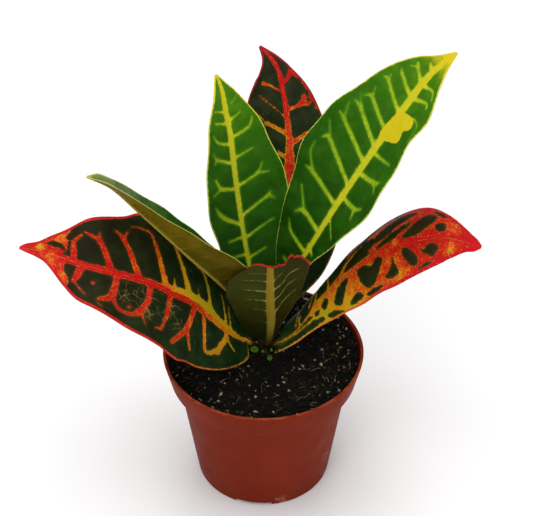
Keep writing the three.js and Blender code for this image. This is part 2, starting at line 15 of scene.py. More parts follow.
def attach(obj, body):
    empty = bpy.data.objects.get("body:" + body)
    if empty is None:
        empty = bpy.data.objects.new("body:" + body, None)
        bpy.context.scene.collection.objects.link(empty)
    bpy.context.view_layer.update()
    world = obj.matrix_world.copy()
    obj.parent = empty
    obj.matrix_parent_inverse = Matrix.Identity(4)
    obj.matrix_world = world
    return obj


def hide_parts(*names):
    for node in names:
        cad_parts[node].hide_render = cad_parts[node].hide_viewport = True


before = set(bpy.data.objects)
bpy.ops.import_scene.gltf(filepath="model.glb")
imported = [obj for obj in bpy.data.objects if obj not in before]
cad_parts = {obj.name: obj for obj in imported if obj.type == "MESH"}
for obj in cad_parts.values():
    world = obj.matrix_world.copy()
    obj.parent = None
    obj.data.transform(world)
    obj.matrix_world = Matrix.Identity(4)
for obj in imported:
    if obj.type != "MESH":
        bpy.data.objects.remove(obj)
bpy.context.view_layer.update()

MM = 0.001
BODY = "root"
CORNER_STEPS = 4

# Camera: the photograph's place, tilt and lens
CAMERA_PLACE = (0.0019, -0.66883, 0.69422)
CAMERA_TILT = 51.4526
PHOTO_WIDTH_PX = 533
FOCAL_PX = 1505
SENSOR_WIDTH = 36

# Light: soft panels, each its place, size and power in watts, all aimed at the plant
AIM = (0, 0, 0.12)
PANELS = {
    "overhead": {"place": (-0.15, 0.1, 1.5), "size": 1.3, "power": 15},
    "front": {"place": (-0.5, -1.3, 1.1), "size": 1.1, "power": 9},
    "right_fill": {"place": (1.3, -0.4, 0.7), "size": 1.0, "power": 3.5},
    "back_fill": {"place": (0.3, 1.5, 0.9), "size": 1.0, "power": 4},
}
SKY_STRENGTH = 0.45
FLOOR_HALF = 6


def srgb(red, green, blue):
    """A colour as seen, 0 to 255 each, as the linear colour that the shaders take."""
    parts = [v / 255 for v in (red, green, blue)]
    linear = [v / 12.92 if v <= 0.04045 else ((v + 0.055) / 1.055) ** 2.4 for v in parts]
    return (*linear, 1.0)


def stops(*rows):
    """A colour ramp's stops, from rows of a place and the red, green and blue seen there."""
    return [(place, srgb(*colour)) for place, *colour in rows]


def smooth(value, start, end):
    """0 before start, 1 after end, and an even curve between."""
    u = np.clip((value - start) / (end - start), 0, 1)
    return u * u * (3 - 2 * u)


# Node trees


class Wiring:
    """Short ways to lay and join nodes in one tree."""

    def __init__(self, tree):
        self.tree = tree

    def add(self, kind, inputs=None, **settings):
        node = self.tree.nodes.new(kind)
        for name, value in settings.items():
            setattr(node, name, value)
        for place, value in (inputs or {}).items():
            self.feed(node.inputs[place], value)
        return node

    def feed(self, socket, value):
        if isinstance(value, bpy.types.NodeSocket):
            self.tree.links.new(value, socket)
        else:
            socket.default_value = value

    def math(self, operation, *values):
        node = self.add("ShaderNodeMath", operation=operation)
        for socket, value in zip(node.inputs, values):
            self.feed(socket, value)
        return node.outputs[0]

    def plus(self, first, second):
        return self.math("ADD", first, second)

    def times(self, first, second):
        return self.math("MULTIPLY", first, second)

    def vector(self, operation, inputs):
        """Vector math. A length or a distance comes out as a number."""
        node = self.add("ShaderNodeVectorMath", inputs, operation=operation)
        return node.outputs["Value" if operation in ("LENGTH", "DISTANCE") else "Vector"]

    def from_axis(self, where):
        """How far a place is from the pot's axis."""
        return self.vector("LENGTH", {0: self.vector("MULTIPLY", {0: where, 1: (1, 1, 0)})})

    def mix(self, share, first, second):
        node = self.add("ShaderNodeMix", data_type="RGBA")
        self.feed(node.inputs["Factor"], share)
        self.feed(node.inputs[6], first)
        self.feed(node.inputs[7], second)
        return node.outputs[2]

    def fade(self, value, start, end, low=0.0, high=1.0):
        node = self.add("ShaderNodeMapRange", interpolation_type="SMOOTHSTEP")
        for place, number in enumerate((value, start, end, low, high)):
            self.feed(node.inputs[place], number)
        return node.outputs[0]

    def attribute(self, name):
        return self.add("ShaderNodeAttribute", attribute_name=name).outputs["Fac"]

    def place(self):
        return self.add("ShaderNodeTexCoord").outputs["Object"]

    def moved(self, turn=(0, 0, 0), longer=(1, 1, 1)):
        """The place in a turned frame, where a pattern is so many times longer along each axis."""
        inputs = {"Vector": self.place(), "Rotation": turn, "Scale": longer}
        return self.add("ShaderNodeMapping", inputs, vector_type="TEXTURE").outputs[0]

    def noise(self, size, detail=3.0, rough=0.55, where=None):
        inputs = {"Vector": where or self.place(), "Scale": 1 / size, "Detail": detail, "Roughness": rough}
        return self.add("ShaderNodeTexNoise", inputs).outputs[0]

    def uneven(self, size, *settings):
        """Noise around 0."""
        return self.math("SUBTRACT", self.noise(size, *settings), 0.5)

    def ramp(self, value, colours):
        node = self.add("ShaderNodeValToRGB", {"Fac": value})
        band = node.color_ramp
        while len(band.elements) < len(colours):
            band.elements.new(0.5)
        for element, (position, colour) in zip(band.elements, colours):
            element.position = position
            element.color = colour
        return node.outputs[0]

    def group(self, tree, *values):
        """What a group puts out when its inputs are fed in order."""
        node = self.add("ShaderNodeGroup", node_tree=tree)
        for socket, value in zip(node.inputs, values):
            self.feed(socket, value)
        return node.outputs[0]


def shader_group(name, inputs, output):
    """An empty shader group of numbers, its wiring, its inputs by name and its one output."""
    tree = bpy.data.node_groups.new(name, "ShaderNodeTree")
    for label in inputs:
        tree.interface.new_socket(label, in_out="INPUT", socket_type="NodeSocketFloat")
    tree.interface.new_socket(output, in_out="OUTPUT", socket_type="NodeSocketFloat")
    wiring = Wiring(tree)
    return tree, wiring, wiring.add("NodeGroupInput").outputs, wiring.add("NodeGroupOutput").inputs[0]


def ragged_edge_group():
    """A mask that is 1 where Field is under 0, with an edge that wanders and softens by millimetres."""
    tree, w, given, out = shader_group("ragged_edge", ["Field", "Wander", "Soft"], "Mask")
    coarse = w.uneven(2.6 * MM, 2)
    fine = w.uneven(0.8 * MM, 3)
    wobble = w.times(w.plus(coarse, w.times(fine, 0.8)), given["Wander"])
    value = w.math("MULTIPLY_ADD", wobble, 2.0, given["Field"])
    w.feed(out, w.fade(value, given["Soft"], w.times(given["Soft"], -1.0)))
    return tree


def speck_group():
    """Scattered small spots: 1 inside a spot. Amount is the share of cells that hold one."""
    tree, w, given, out = shader_group("specks", ["Size", "Amount", "Reach"], "Mask")
    scale = w.math("DIVIDE", 1 / MM, given["Size"])
    cells = w.add("ShaderNodeTexVoronoi", {"Vector": w.place(), "Scale": scale}, feature="F1")
    cell_value = w.add("ShaderNodeSeparateColor", {0: cells.outputs["Color"]}).outputs[0]
    chosen = w.math("LESS_THAN", cell_value, given["Amount"])
    spot = w.fade(cells.outputs["Distance"], given["Reach"], w.times(given["Reach"], 0.5))
    w.feed(out, w.times(chosen, spot))
    return tree


def grain_group():
    """A fine height for bumps: a coarse and a fine noise, sizes in millimetres."""
    tree, w, given, out = shader_group("fine_grain", ["Coarse", "Fine", "Fine Share"], "Height")
    layers = []
    for label, detail in (("Coarse", 3), ("Fine", 2)):
        scale = w.math("DIVIDE", 1 / MM, given[label])
        layer = w.add("ShaderNodeTexNoise", {"Vector": w.place(), "Scale": scale, "Detail": detail})
        layers.append(layer.outputs[0])
    w.feed(out, w.math("MULTIPLY_ADD", layers[1], given["Fine Share"], layers[0]))
    return tree


RAGGED = ragged_edge_group()
SPECKS = speck_group()
GRAIN = grain_group()


def finish_of(name):
    """A new material with its wiring and its Principled shader."""
    material = bpy.data.materials.new(name)
    material.use_nodes = True
    return material, Wiring(material.node_tree), material.node_tree.nodes["Principled BSDF"]


def finished(w, shader, colour, roughness, shine, height, depth):
    """Feeds the shader's colour, roughness and shine, and a bump from a height, depth in millimetres."""
    w.feed(shader.inputs["Base Color"], colour)
    w.feed(shader.inputs["Roughness"], roughness)
    shader.inputs["Specular IOR Level"].default_value = shine
    bump = w.add("ShaderNodeBump", {"Height": height, "Distance": depth * MM, "Strength": 1.0})
    w.feed(shader.inputs["Normal"], bump.outputs[0])


# Pieces


def new_piece(name, vertices, faces, materials, stands_for, indices=None):
    """A mesh piece that rides on the plant's one body."""
    mesh = bpy.data.meshes.new(name)
    mesh.from_pydata([tuple(v) for v in vertices], [], [tuple(f) for f in faces])
    return piece_from(name, mesh, materials, stands_for, indices)


def piece_from(name, mesh, materials, stands_for=(), indices=None):
    """A piece from a mesh, with smooth shading. indices are its faces' places in materials."""
    for material in materials:
        mesh.materials.append(material)
    if indices is not None:
        mesh.polygons.foreach_set("material_index", np.asarray(indices, np.int32))
    mesh.polygons.foreach_set("use_smooth", np.ones(len(mesh.polygons), bool))
    piece = bpy.data.objects.new(name, mesh)
    bpy.context.scene.collection.objects.link(piece)
    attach(piece, BODY)
    if stands_for:
        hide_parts(*stands_for)
    return piece


def evaluated_mesh(piece):
    """The piece's mesh with its modifiers applied."""
    bpy.context.view_layer.update()
    graph = bpy.context.evaluated_depsgraph_get()
    return bpy.data.meshes.new_from_object(piece.evaluated_get(graph))


def ring_faces(rings, sides, first=0):
    """Quads between rings of the same number of points, in order from one ring to the next."""
    faces = []
    for i in range(rings - 1):
        for k in range(sides):
            a = first + i * sides + k
            b = first + i * sides + (k + 1) % sides
            faces.append((a, b, b + sides, a + sides))
    return faces


def ring(radius, z, sides, x=0.0, y=0.0):
    """The points of a level ring."""
    turns = [2 * math.pi * k / sides for k in range(sides)]
    return [(x + radius * math.cos(turn), y + radius * math.sin(turn), z) for turn in turns]


def lathe(profile, sides, x=0.0, y=0.0):
    """Vertices and faces of a closed turned shape, from radius and height pairs, axis to axis."""
    vertices = []
    for radius, z in profile[1:-1]:
        vertices += ring(radius, z, sides, x, y)
    rings = len(profile) - 2
    faces = ring_faces(rings, sides)
    for z, last, flip in ((profile[0][1], 0, True), (profile[-1][1], rings - 1, False)):
        middle = len(vertices)
        vertices.append((x, y, z))
        for k in range(sides):
            a, b = last * sides + k, last * sides + (k + 1) % sides
            faces.append((middle, b, a) if flip else (middle, a, b))
    return vertices, faces


def rounded(corner, before, after, reach):
    """Points of a rounded corner: a curve that leaves each side of it at the given reach."""
    corner, before, after = (np.array(p, float) for p in (corner, before, after))
    start = corner + (before - corner) * min(1, reach / np.linalg.norm(before - corner))
    end = corner + (after - corner) * min(1, reach / np.linalg.norm(after - corner))
    shares = [n / CORNER_STEPS for n in range(CORNER_STEPS + 1)]
    return [tuple((1 - u) ** 2 * start + 2 * u * (1 - u) * corner + u**2 * end) for u in shares]


# Leaves: the same surface as the solids, with a fine grid, veins, a midrib and painted fields


def level(value):
    """The same value along a whole blade."""
    return [(0, value), (1, value)]


def both(kind, values):
    """The same values for the left and the right."""
    return {kind + "_left": values, kind + "_right": values}


def at_shares(*values):
    """Values at the shares of the blade that most width tables use."""
    return list(zip(WIDTH_SHARES, values))


# The blade's form: its foot, margin, grid, petiole, thickness and relief
WIDTH_SHARES = (0, 0.05, 0.1, 0.2, 0.3, 0.4, 0.5, 0.6, 0.7, 0.8, 0.9, 0.95, 1)
LOBE_PEAK = 0.045
LOBE_END = 0.22
LEFT_WAVE_LEAD = 0.35
SMALL_STEP = 0.001
ROWS_PER_MM = 1.3
HALF_COLUMNS_PER_MM = 1.15
EVEN_COLUMNS = 0.6
CROWDING = 1.6
PETIOLE_ROWS = 16
PETIOLE_START = 0.25
PETIOLE_ROUNDNESS = 0.97
OPENING_START = 0.55
OPENING_END = 0.04
BLADE_THICKNESS = 0.6
MARGIN_START = 0.93
RIDGE_DEPTH_FOOT = 1.5
RIDGE_DEPTH_TIP = 0.25
RIDGE_HALF_WIDTH = 1.3
QUILT_HEIGHT = 0.45
QUILT_REACH = 3.5
GROOVE_DEPTH = 0.12
UNDER_VEIN_DEPTH = 0.2
# The blade's paint: how its paths and areas are drawn and how far their edges wander
PATH_STEPS = 4
OUTLINE_STEPS = 5
VEIN_WEB = 0.45
WEB_LIMITS = (-30, 60)
VEIN_REACH = 0.8
THINNEST_LINE = 0.36
FLOOD_WANDER = 2.4
ISLAND_WANDER = 0.7
AREA_EDGE = 0.5
WHOLE_TIP_SPARE = 3
COOLING_FALL = 3.0
FAR = 50.0
UNEVEN_WAVES = [(0.55, 0.4), (1.1, 0.35), (2.3, 0.25)]
TEAR_TURNS = [(23, 0.5, 0.4), (57, 0.3, 1.7), (131, 0.2, 2.9)]
TEAR_POWER = 12

# What a leaf has where its own table says nothing
PLAIN = dict(
    **both("curl", level(0)), **both("lobe", 0), torn=level(0), ragged=level(0), pools=[], islands=[],
    patch=None, scuffs=None, flood=(1.2, 1.2), cooling=(0.2, 0.2), core=2, split=0, glows=[], tip_start=0.96,
)

# Each leaf. rib is the midrib's path from the stem to the tip, and the blade begins at its second point.
# facing is the way the upper side looks, at shares of the rib. The rest is at shares of the blade: left and
# right half widths, fold and curl in degrees, wave as height, count and start, lobe as the reach back past
# the foot, torn and ragged as how far a torn end goes, across the blade. What is painted is placed by share
# and by part of the half width, less than 0 on the left: midrib and veins as paths with a half width where
# it isn't vein_width, which runs from the rib to the margin; pools of the vein colour; islands with none; a
# plain yellow patch; scuffs as an outline of scratches. flood is the share past which the vein colour
# covers the left and right half. warmth_left and warmth_right run from 0, the first vein colour, to 1, the
# last, and meet split of the half width right of the midrib. cooling is how much of it is lost on the left
# and right past core millimetres from the rib, and glows change it round a place: share, part of the half
# width, reach and change. tip_start is where the tip's colour begins.
LEAVES = {
    "leaf_low_left": dict(
        PLAIN,
        rib=[(-1, 3.7, 86), (-9.6, 1.4, 98.2), (-20, -1, 113), (-48, -7, 142), (-86, -10, 162),
             (-114, -8, 169), (-136.9, -4, 172)],
        facing=[(0, (0.3, -0.55, 0.75)), (1, (0.1, -0.6, 0.8))],
        left=[(0, 2), (0.01, 2.9), (0.03, 7), (0.06, 14.6), (0.1, 22.6), (0.15, 31), (0.2, 35.3),
              (0.27, 36.9), (0.32, 39), (0.36, 38), (0.4, 35.8), (0.46, 34.8), (0.52, 33.4), (0.6, 29.6),
              (0.7, 25.8), (0.76, 22.7), (0.82, 15.6), (0.865, 9.2), (0.9, 5.2), (0.94, 3), (0.98, 1.7),
              (1, 0.8)],
        right=[(0, 2), (0.04, 10), (0.1, 17), (0.2, 25), (0.3, 32), (0.4, 37), (0.5, 40), (0.57, 38.6),
               (0.61, 36.5), (0.655, 32), (0.7, 28.8), (0.77, 25), (0.8, 22), (0.86, 14.2), (0.9, 9.8),
               (0.935, 5.8), (0.98, 3), (1, 0.8)],
        fold_left=level(8), fold_right=[(0, -6), (0.5, -2), (0.75, 8), (1, 8)],
        curl_right=[(0, -20), (0.5, -14), (0.8, 0), (1, 0)], lobe_left=13.5, lobe_right=2,
        wave=(1.3, 5.5, 0.2), petiole=1.9,
        midrib=[(0, -0.3, 0.7), (0.043, -0.26, 0.9), (0.12, -0.2, 1.3), (0.185, -0.13, 1.6),
                (0.25, -0.1, 1.8), (0.33, -0.06, 1.8), (0.4, -0.08, 1.8), (0.45, -0.06, 1.8),
                (0.5, -0.04, 2), (0.63, -0.07, 2.1), (0.76, -0.1, 1.9), (0.85, -0.03, 1.7),
                (0.95, 0.1, 1.4), (1, 0, 1)],
        veins=[
            [(0.8, 0.1), (0.81, 0.46, 1.3), (0.79, 0.61, 0.6)],
            [(0.66, 0), (0.72, 0.47, 1.2), (0.75, 0.57, 0.8), (0.78, 0.68, 0.3)],
            [(0.72, 0.47, 0.9), (0.73, 0.65, 0.3)],
            [(0.55, 0), (0.64, 0.55, 1.1), (0.66, 0.65, 0.8), (0.68, 0.72, 0.3)],
            [(0.64, 0.55, 0.9), (0.63, 0.7, 0.3)],
            [(0.44, 0), (0.53, 0.63, 0.8), (0.58, 0.73, 0.4), (0.62, 0.76, 0.2)],
            [(0.33, 0), (0.42, 0.56, 0.9), (0.44, 0.67, 0.4)],
            [(0.22, 0, 1.2), (0.29, 0.53, 0.7), (0.34, 0.57, 0.4)],
            [(0.14, 0, 0.8), (0.177, 0.38, 0.5), (0.2, 0.5, 0.2)], [(0.105, -0.1, 0.5), (0.147, 0.4, 0.2)],
            [(0.46, 0, 0.6), (0.4, 0.01, 1.7), (0.33, 0.04, 1.7), (0.25, 0.02, 2), (0.185, -0.045, 1.4),
             (0.12, -0.1, 1), (0.05, -0.2, 0.5)], [(0.408, 0.05, 0.8), (0.415, 0.16, 0.2)],
            [(0.35, 0.05, 0.8), (0.362, 0.13, 0.2)], [(0.29, 0.05, 1), (0.31, 0.22, 0.15)],
            [(0.245, 0.05, 0.8), (0.25, 0.16, 0.2)], [(0.76, -0.1), (0.77, -0.37, 2.1), (0.78, -0.6)],
            [(0.63, -0.1), (0.635, -0.56, 2.1), (0.68, -0.75)],
            [(0.635, -0.56, 1.2), (0.6, -0.74, 0.9), (0.55, -0.72, 1.2), (0.515, -0.6, 1.8)],
            [(0.5, -0.1), (0.5, -0.38, 1.8), (0.52, -0.6, 2)], [(0.51, -0.66, 0.5), (0.49, -0.78, 0.3)],
            [(0.415, -0.1), (0.41, -0.42, 1.3), (0.42, -0.72, 0.7)],
            [(0.42, -0.72, 0.6), (0.45, -0.75, 0.4)], [(0.3, -0.1), (0.31, -0.46, 1.8), (0.36, -0.79, 1.3)],
            [(0.31, -0.47, 1.2), (0.27, -0.78, 0.8)],
            [(0.25, -0.14, 1.2), (0.22, -0.42, 1.1), (0.19, -0.69, 1.1), (0.15, -0.65, 1.1)],
            [(0.14, -0.08), (0.12, -0.31, 1.3), (0.15, -0.65, 1.4)],
            [(0.12, -0.31, 1.1), (0.08, -0.64, 0.5)], [(0.71, -0.46, 0.7), (0.712, -0.45, 0.7)],
            [(0.56, -0.61, 0.8), (0.565, -0.62, 0.8)],
            [(0.78, -0.62, 0.3), (0.75, -0.71, 0.4), (0.73, -0.77, 0.2)],
            [(0.68, -0.84, 0.4), (0.66, -0.87, 0.3)],
        ],
        vein_width=(1.7, 0.9),
        islands=[
            [(0.91, 0.57), (0.89, 0.68), (0.86, 0.53), (0.84, 0.35), (0.83, 0.2), (0.86, 0.29)],
            [(0.84, 0.63), (0.83, 0.8), (0.81, 0.78), (0.82, 0.5)],
            [(0.825, -0.4), (0.82, -0.22), (0.79, -0.16), (0.785, -0.34), (0.79, -0.53), (0.81, -0.62)],
        ],
        margin_width=[(0, 0.6), (0.3, 1), (0.5, 1.4), (0.7, 1.7), (1, 2)],
        warmth_left=[(0, 0.3), (0.12, 0.3), (0.2, 0.45), (0.28, 0.65), (0.35, 0.85), (0.45, 0.97), (1, 1)],
        warmth_right=[(0, 0.28), (0.12, 0.16), (0.2, 0.12), (0.3, 0.15), (0.37, 0.24), (0.42, 0.4),
                      (0.48, 0.62), (0.58, 0.85), (0.68, 1), (1, 1)],
        flood=(0.8, 0.83), cooling=(0.1, 0.15), split=0.045,
        glows=[(0.93, 0.5, 3, -0.9), (0.88, -0.4, 5, -0.5), (0.86, 0.75, 4, -0.45), (0.82, -0.75, 5, -0.3)],
        scuffs=[(0.36, -0.2), (0.36, -0.6), (0.62, -0.6), (0.62, -0.2)], look="dark",
    ),
    "leaf_mid_left": dict(
        PLAIN,
        rib=[(-0.6, 3.8, 95), (-11, 4.5, 117.7), (-21, 4, 134.6), (-42, 4, 158.6), (-53, 4, 171.6),
             (-70.5, 5, 191.5), (-84, 6, 206), (-97, 6, 213.5)],
        facing=[(0, (0.68, 0.5, 0.5)), (0.5, (0.68, 0.44, 0.58)), (1, (0.5, 0.2, 0.85))],
        left=[(0, 2), (0.05, 15), (0.1, 23), (0.2, 32), (0.3, 34), (0.4, 31), (0.5, 27), (0.6, 22.5),
              (0.7, 18), (0.8, 13), (0.9, 7), (0.96, 4), (1, 0.8)],
        right=[(0, 2), (0.05, 12), (0.1, 16), (0.2, 18), (0.3, 18.5), (0.4, 18), (0.5, 16.5), (0.6, 14.5),
               (0.7, 11.5), (0.8, 8), (0.9, 5.2), (0.96, 4.5), (1, 0.8)],
        fold_left=[(0, 32), (0.6, 30), (1, 30)], fold_right=[(0, 46), (0.6, 44), (1, 42)],
        wave=(0.3, 5, 0.1), petiole=1.7, midrib=[(0, 0, 1.2), (0.5, 0, 1.3), (1, 0, 1)],
        veins=[[(s, 0), (s + 0.01, 0.75 * side)] for s in np.arange(0.06, 0.9, 0.08) for side in (-1, 1)],
        vein_width=(0.4, 0.2), margin_width=[(0, 0.35), (0.85, 0.4), (1, 0.9)],
        **both("warmth", level(0.6)), flood=(0.97, 0.97), look="olive",
    ),
    "leaf_upper_left": dict(
        PLAIN,
        rib=[(-0.1, 4.2, 97), (-4, 12.5, 118.5), (-8, 20, 139), (-12.5, 32, 168), (-17, 46, 200.5),
             (-23, 62, 231), (-27, 68, 241)],
        facing=[(0, (0.45, -0.7, 0.4)), (1, (0.4, -0.6, 0.5))],
        left=at_shares(2, 8, 13, 18, 21, 24, 24.5, 22, 18.7, 14.4, 8, 5, 0.8),
        right=at_shares(2, 12, 18, 26, 30, 31.4, 30.4, 27.4, 22.8, 18, 9.5, 4.5, 0.8), fold_left=level(14),
        fold_right=level(10), wave=(0.9, 5, 0.4), petiole=1.8,
        midrib=[(0, 0, 1.2), (0.2, -0.03, 1.5), (0.4, -0.045, 1.8), (0.61, -0.055, 1.95),
                (0.76, -0.02, 1.9), (0.88, -0.06, 1.8), (0.96, 0, 1.2), (1, 0, 0.6)],
        veins=[
            [(0.35, -0.05), (0.4, -0.53, 1.3), (0.43, -0.69, 1.1), (0.46, -0.78, 0.25)],
            [(0.51, -0.05), (0.53, -0.53, 1.1), (0.57, -0.7, 0.7)], [(0.53, -0.53), (0.51, -0.81)],
            [(0.62, -0.05), (0.65, -0.59, 0.9), (0.68, -0.8, 0.3)], [(0.655, -0.6), (0.64, -0.72)],
            [(0.7, -0.05), (0.72, -0.56, 0.8), (0.75, -0.77, 0.3)], [(0.79, -0.1), (0.8, -0.69)],
            [(0.84, -0.2), (0.85, -0.76)], [(0.3, -0.05), (0.3, -0.62)], [(0.22, 0), (0.23, -0.6)],
            [(0.13, 0), (0.14, -0.6)], [(0.73, 0.05), (0.76, 0.56, 0.8), (0.8, 0.81, 0.3)],
            [(0.64, 0), (0.67, 0.49, 0.3)], [(0.52, 0), (0.56, 0.43, 0.7), (0.6, 0.59, 0.25)],
            [(0.56, 0.43), (0.56, 0.67)], [(0.39, 0), (0.45, 0.53, 0.7), (0.44, 0.68)],
            [(0.45, 0.53), (0.47, 0.63)], [(0.29, 0), (0.34, 0.48, 0.35), (0.35, 0.61, 0.2)],
            [(0.2, 0), (0.23, 0.42, 0.3)], [(0.12, 0), (0.14, 0.4, 0.3)], [(0.8, 0.03), (0.83, 0.54, 0.25)],
            [(0.87, 0.3, 0.2), (0.9, 0.85, 0.25)],
        ],
        vein_width=(0.85, 0.4), margin_width=[(0, 0.45), (0.6, 0.65), (1, 0.8)],
        warmth_left=[(0, 0.5), (0.6, 0.7), (1, 0.8)], warmth_right=[(0, 0.5), (0.6, 0.65), (1, 0.8)],
        flood=(0.99, 0.99), cooling=(0.35, 0.4), tip_start=0.97, look="green",
    ),
    "leaf_back": dict(
        PLAIN,
        rib=[(0.4, 4.6, 90.5), (9.5, 22, 120.5), (16.5, 35, 139.5), (15.5, 60, 169), (14, 80, 202),
             (8, 95, 226), (-2, 104.85, 237.9)],
        facing=[(0, (0.1, -0.8, 0.5)), (1, (0.1, -0.7, 0.6))],
        left=at_shares(2, 14, 20, 26, 29, 29, 28, 26, 25, 21, 11, 4, 0.8),
        right=[(0, 2), (0.015, 4), (0.045, 8), (0.1, 14), (0.147, 21.5), (0.2, 26.5), (0.3, 29), (0.4, 29),
               (0.5, 28), (0.6, 25), (0.7, 20.5), (0.8, 15), (0.9, 7), (0.95, 4), (1, 0.8)],
        **both("fold", level(8)), lobe_right=19, wave=(1.2, 5.5, 0), petiole=1.9,
        midrib=[(0, 0, 1.4), (0.2, 0, 2.4), (0.4, 0, 3.6), (0.5, 0.01, 3.2), (0.58, 0.02, 2.2),
                (0.66, 0.01, 1.7), (0.79, 0.03, 1.3), (0.85, 0.08, 1.3), (0.91, 0.2, 1.2), (0.97, 0.3, 0.9),
                (1, 0.2, 0.6)],
        veins=[
            [(0.825, 0.1, 0.8), (0.85, 0.55, 0.9), (0.855, 0.8, 1.3)], [(0.85, 0.6), (0.865, 0.78, 0.8)],
            [(0.725, 0.05, 0.9), (0.735, 0.45, 1), (0.765, 0.74, 1.4)],
            [(0.74, 0.5, 1.3), (0.735, 0.8, 1.1)], [(0.585, 0.05), (0.62, 0.4, 1.1), (0.64, 0.75)],
            [(0.48, 0), (0.52, 0.6)], [(0.38, 0), (0.42, 0.65)], [(0.28, 0), (0.32, 0.5, 0.6)],
            [(0.18, 0), (0.2, 0.4, 0.4)], [(0.8, -0.05, 0.4), (0.83, -0.33, 0.7), (0.85, -0.62, 1)],
            [(0.7, -0.05, 0.4), (0.75, -0.35, 0.28), (0.8, -0.68, 0.4)],
            [(0.63, -0.05), (0.66, -0.32, 1.1), (0.68, -0.5, 1.2)], [(0.68, -0.5, 0.5), (0.73, -0.75, 0.3)],
            [(0.53, 0), (0.55, -0.2, 1.3), (0.56, -0.24, 0.6)], [(0.44, 0), (0.48, -0.65)],
            [(0.34, 0), (0.38, -0.65)], [(0.24, 0), (0.28, -0.65)], [(0.14, 0), (0.17, -0.6)],
        ],
        vein_width=(1.2, 0.8),
        pools=[[(0.7, 0.98), (0.75, 0.84), (0.79, 0.88), (0.84, 0.8), (0.88, 0.92), (0.8, 1)]],
        islands=[
            [(0.76, 0.84), (0.77, 0.76), (0.785, 0.82), (0.78, 0.92)],
            [(0.72, 0.9), (0.735, 0.84), (0.74, 0.93)], [(0.81, 0.85), (0.83, 0.8), (0.83, 0.92)],
        ],
        margin_width=[(0, 0.5), (0.2, 0.7), (0.7, 0.8), (0.85, 1), (1, 1.1)],
        warmth_left=[(0, 0.1), (0.35, 0.5), (0.48, 0.7), (0.55, 0.62), (0.6, 0.62), (0.68, 0.85),
                     (0.78, 1.2), (1, 1.35)],
        warmth_right=[(0, 0.1), (0.35, 0.5), (0.48, 0.7), (0.55, 0.62), (0.62, 0.7), (0.7, 0.9),
                      (0.82, 1.3), (1, 1.35)],
        flood=(0.98, 0.98), cooling=(0.45, 0.15), core=0.5, tip_start=0.95, look="back",
    ),
    "leaf_upper_right": dict(
        PLAIN,
        rib=[(0.6, 4, 97), (11, 6, 129), (23, 6, 158), (37.5, 8, 187), (60, 14, 225), (85, 24, 258),
             (104, 30, 277.9)],
        facing=[(0, (-0.6, -0.6, 0.4)), (1, (-0.6, -0.5, 0.5))],
        left=at_shares(2, 9, 15, 24, 29, 35.5, 39, 38, 33, 26.5, 16, 7.5, 0.8),
        right=at_shares(2, 5, 6, 10, 17, 23.5, 27, 24.5, 21, 20.5, 10.5, 4.5, 0.8), fold_left=level(8),
        fold_right=level(16), wave=(1.2, 5.5, 0.3), petiole=2,
        midrib=[(0, 0.1, 1.4), (0.2, 0.1, 1.8), (0.37, 0.05, 2.2), (0.5, 0.04, 2.4), (0.63, 0.03, 2.5),
                (0.72, 0.01, 2.5), (0.81, -0.03, 2.4), (0.9, -0.12, 2), (1, -0.2, 1.6)],
        veins=[
            [(0.09, 0), (0.12, -0.6)], [(0.19, 0), (0.21, -0.58, 0.9), (0.24, -0.74, 0.3)],
            [(0.28, 0), (0.3, -0.49, 1.3), (0.28, -0.66, 0.5)], [(0.3, -0.49), (0.36, -0.74, 0.25)],
            [(0.39, 0), (0.42, -0.61, 1.3), (0.42, -0.78, 0.5)],
            [(0.42, -0.61), (0.465, -0.79, 0.5), (0.5, -0.82, 0.2)],
            [(0.47, 0), (0.54, -0.65, 1.2), (0.53, -0.77, 0.4)], [(0.54, -0.65), (0.585, -0.85, 0.3)],
            [(0.56, 0), (0.62, -0.67, 1.2), (0.63, -0.81, 0.5)], [(0.62, -0.67), (0.67, -0.82, 0.3)],
            [(0.62, 0), (0.68, -0.59, 1.1), (0.69, -0.8, 0.4)], [(0.68, -0.59), (0.715, -0.83, 0.2)],
            [(0.68, -0.03), (0.73, -0.64, 1), (0.72, -0.76, 0.3)], [(0.73, -0.64), (0.76, -0.75, 0.3)],
            [(0.75, -0.05), (0.8, -0.69, 1), (0.8, -0.83, 0.4)], [(0.8, -0.69), (0.82, -0.78, 0.3)],
            [(0.81, -0.08), (0.84, -0.6, 1), (0.85, -0.77, 0.4)], [(0.86, -0.1), (0.895, -0.72, 0.7)],
            [(0.885, -0.6, 0.6), (0.875, -0.72, 0.3)], [(0.91, -0.2), (0.92, -0.5)],
            [(0.12, 0), (0.13, 0.6)], [(0.22, 0), (0.21, 0.6)],
            [(0.35, 0.1, 0.6), (0.33, 0.4, 0.35), (0.31, 0.72, 0.3)],
            [(0.43, 0), (0.44, 0.57, 1.2), (0.46, 0.73, 0.4)], [(0.44, 0.57), (0.41, 0.7, 0.5)],
            [(0.525, 0), (0.55, 0.65, 1.3), (0.565, 0.78, 0.4)], [(0.55, 0.65), (0.53, 0.8, 0.4)],
            [(0.605, 0), (0.62, 0.72, 0.5)],
            [(0.77, 0.5, 0.6), (0.765, 0.75, 0.4), (0.74, 0.88, 0.25), (0.71, 0.92, 0.2)],
            [(0.81, 0), (0.83, 0.58, 1), (0.82, 0.7, 0.6)],
            [(0.86, 0), (0.87, 0.6, 0.7), (0.85, 0.78, 0.4)],
        ],
        vein_width=(1.2, 0.5), margin_width=[(0, 0.45), (0.6, 0.6), (1, 0.8)],
        **both("warmth", [(0, 0.6), (0.25, 0.7), (0.7, 0.68), (1, 0.8)]), flood=(0.96, 0.96),
        cooling=(0.4, 0.4), tip_start=0.88,
        patch=[(0.745, -0.06), (0.765, 0.2), (0.767, 0.53), (0.742, 0.69), (0.72, 0.55), (0.7, 0.62),
               (0.68, 0.57), (0.662, 0.22), (0.65, -0.06)],
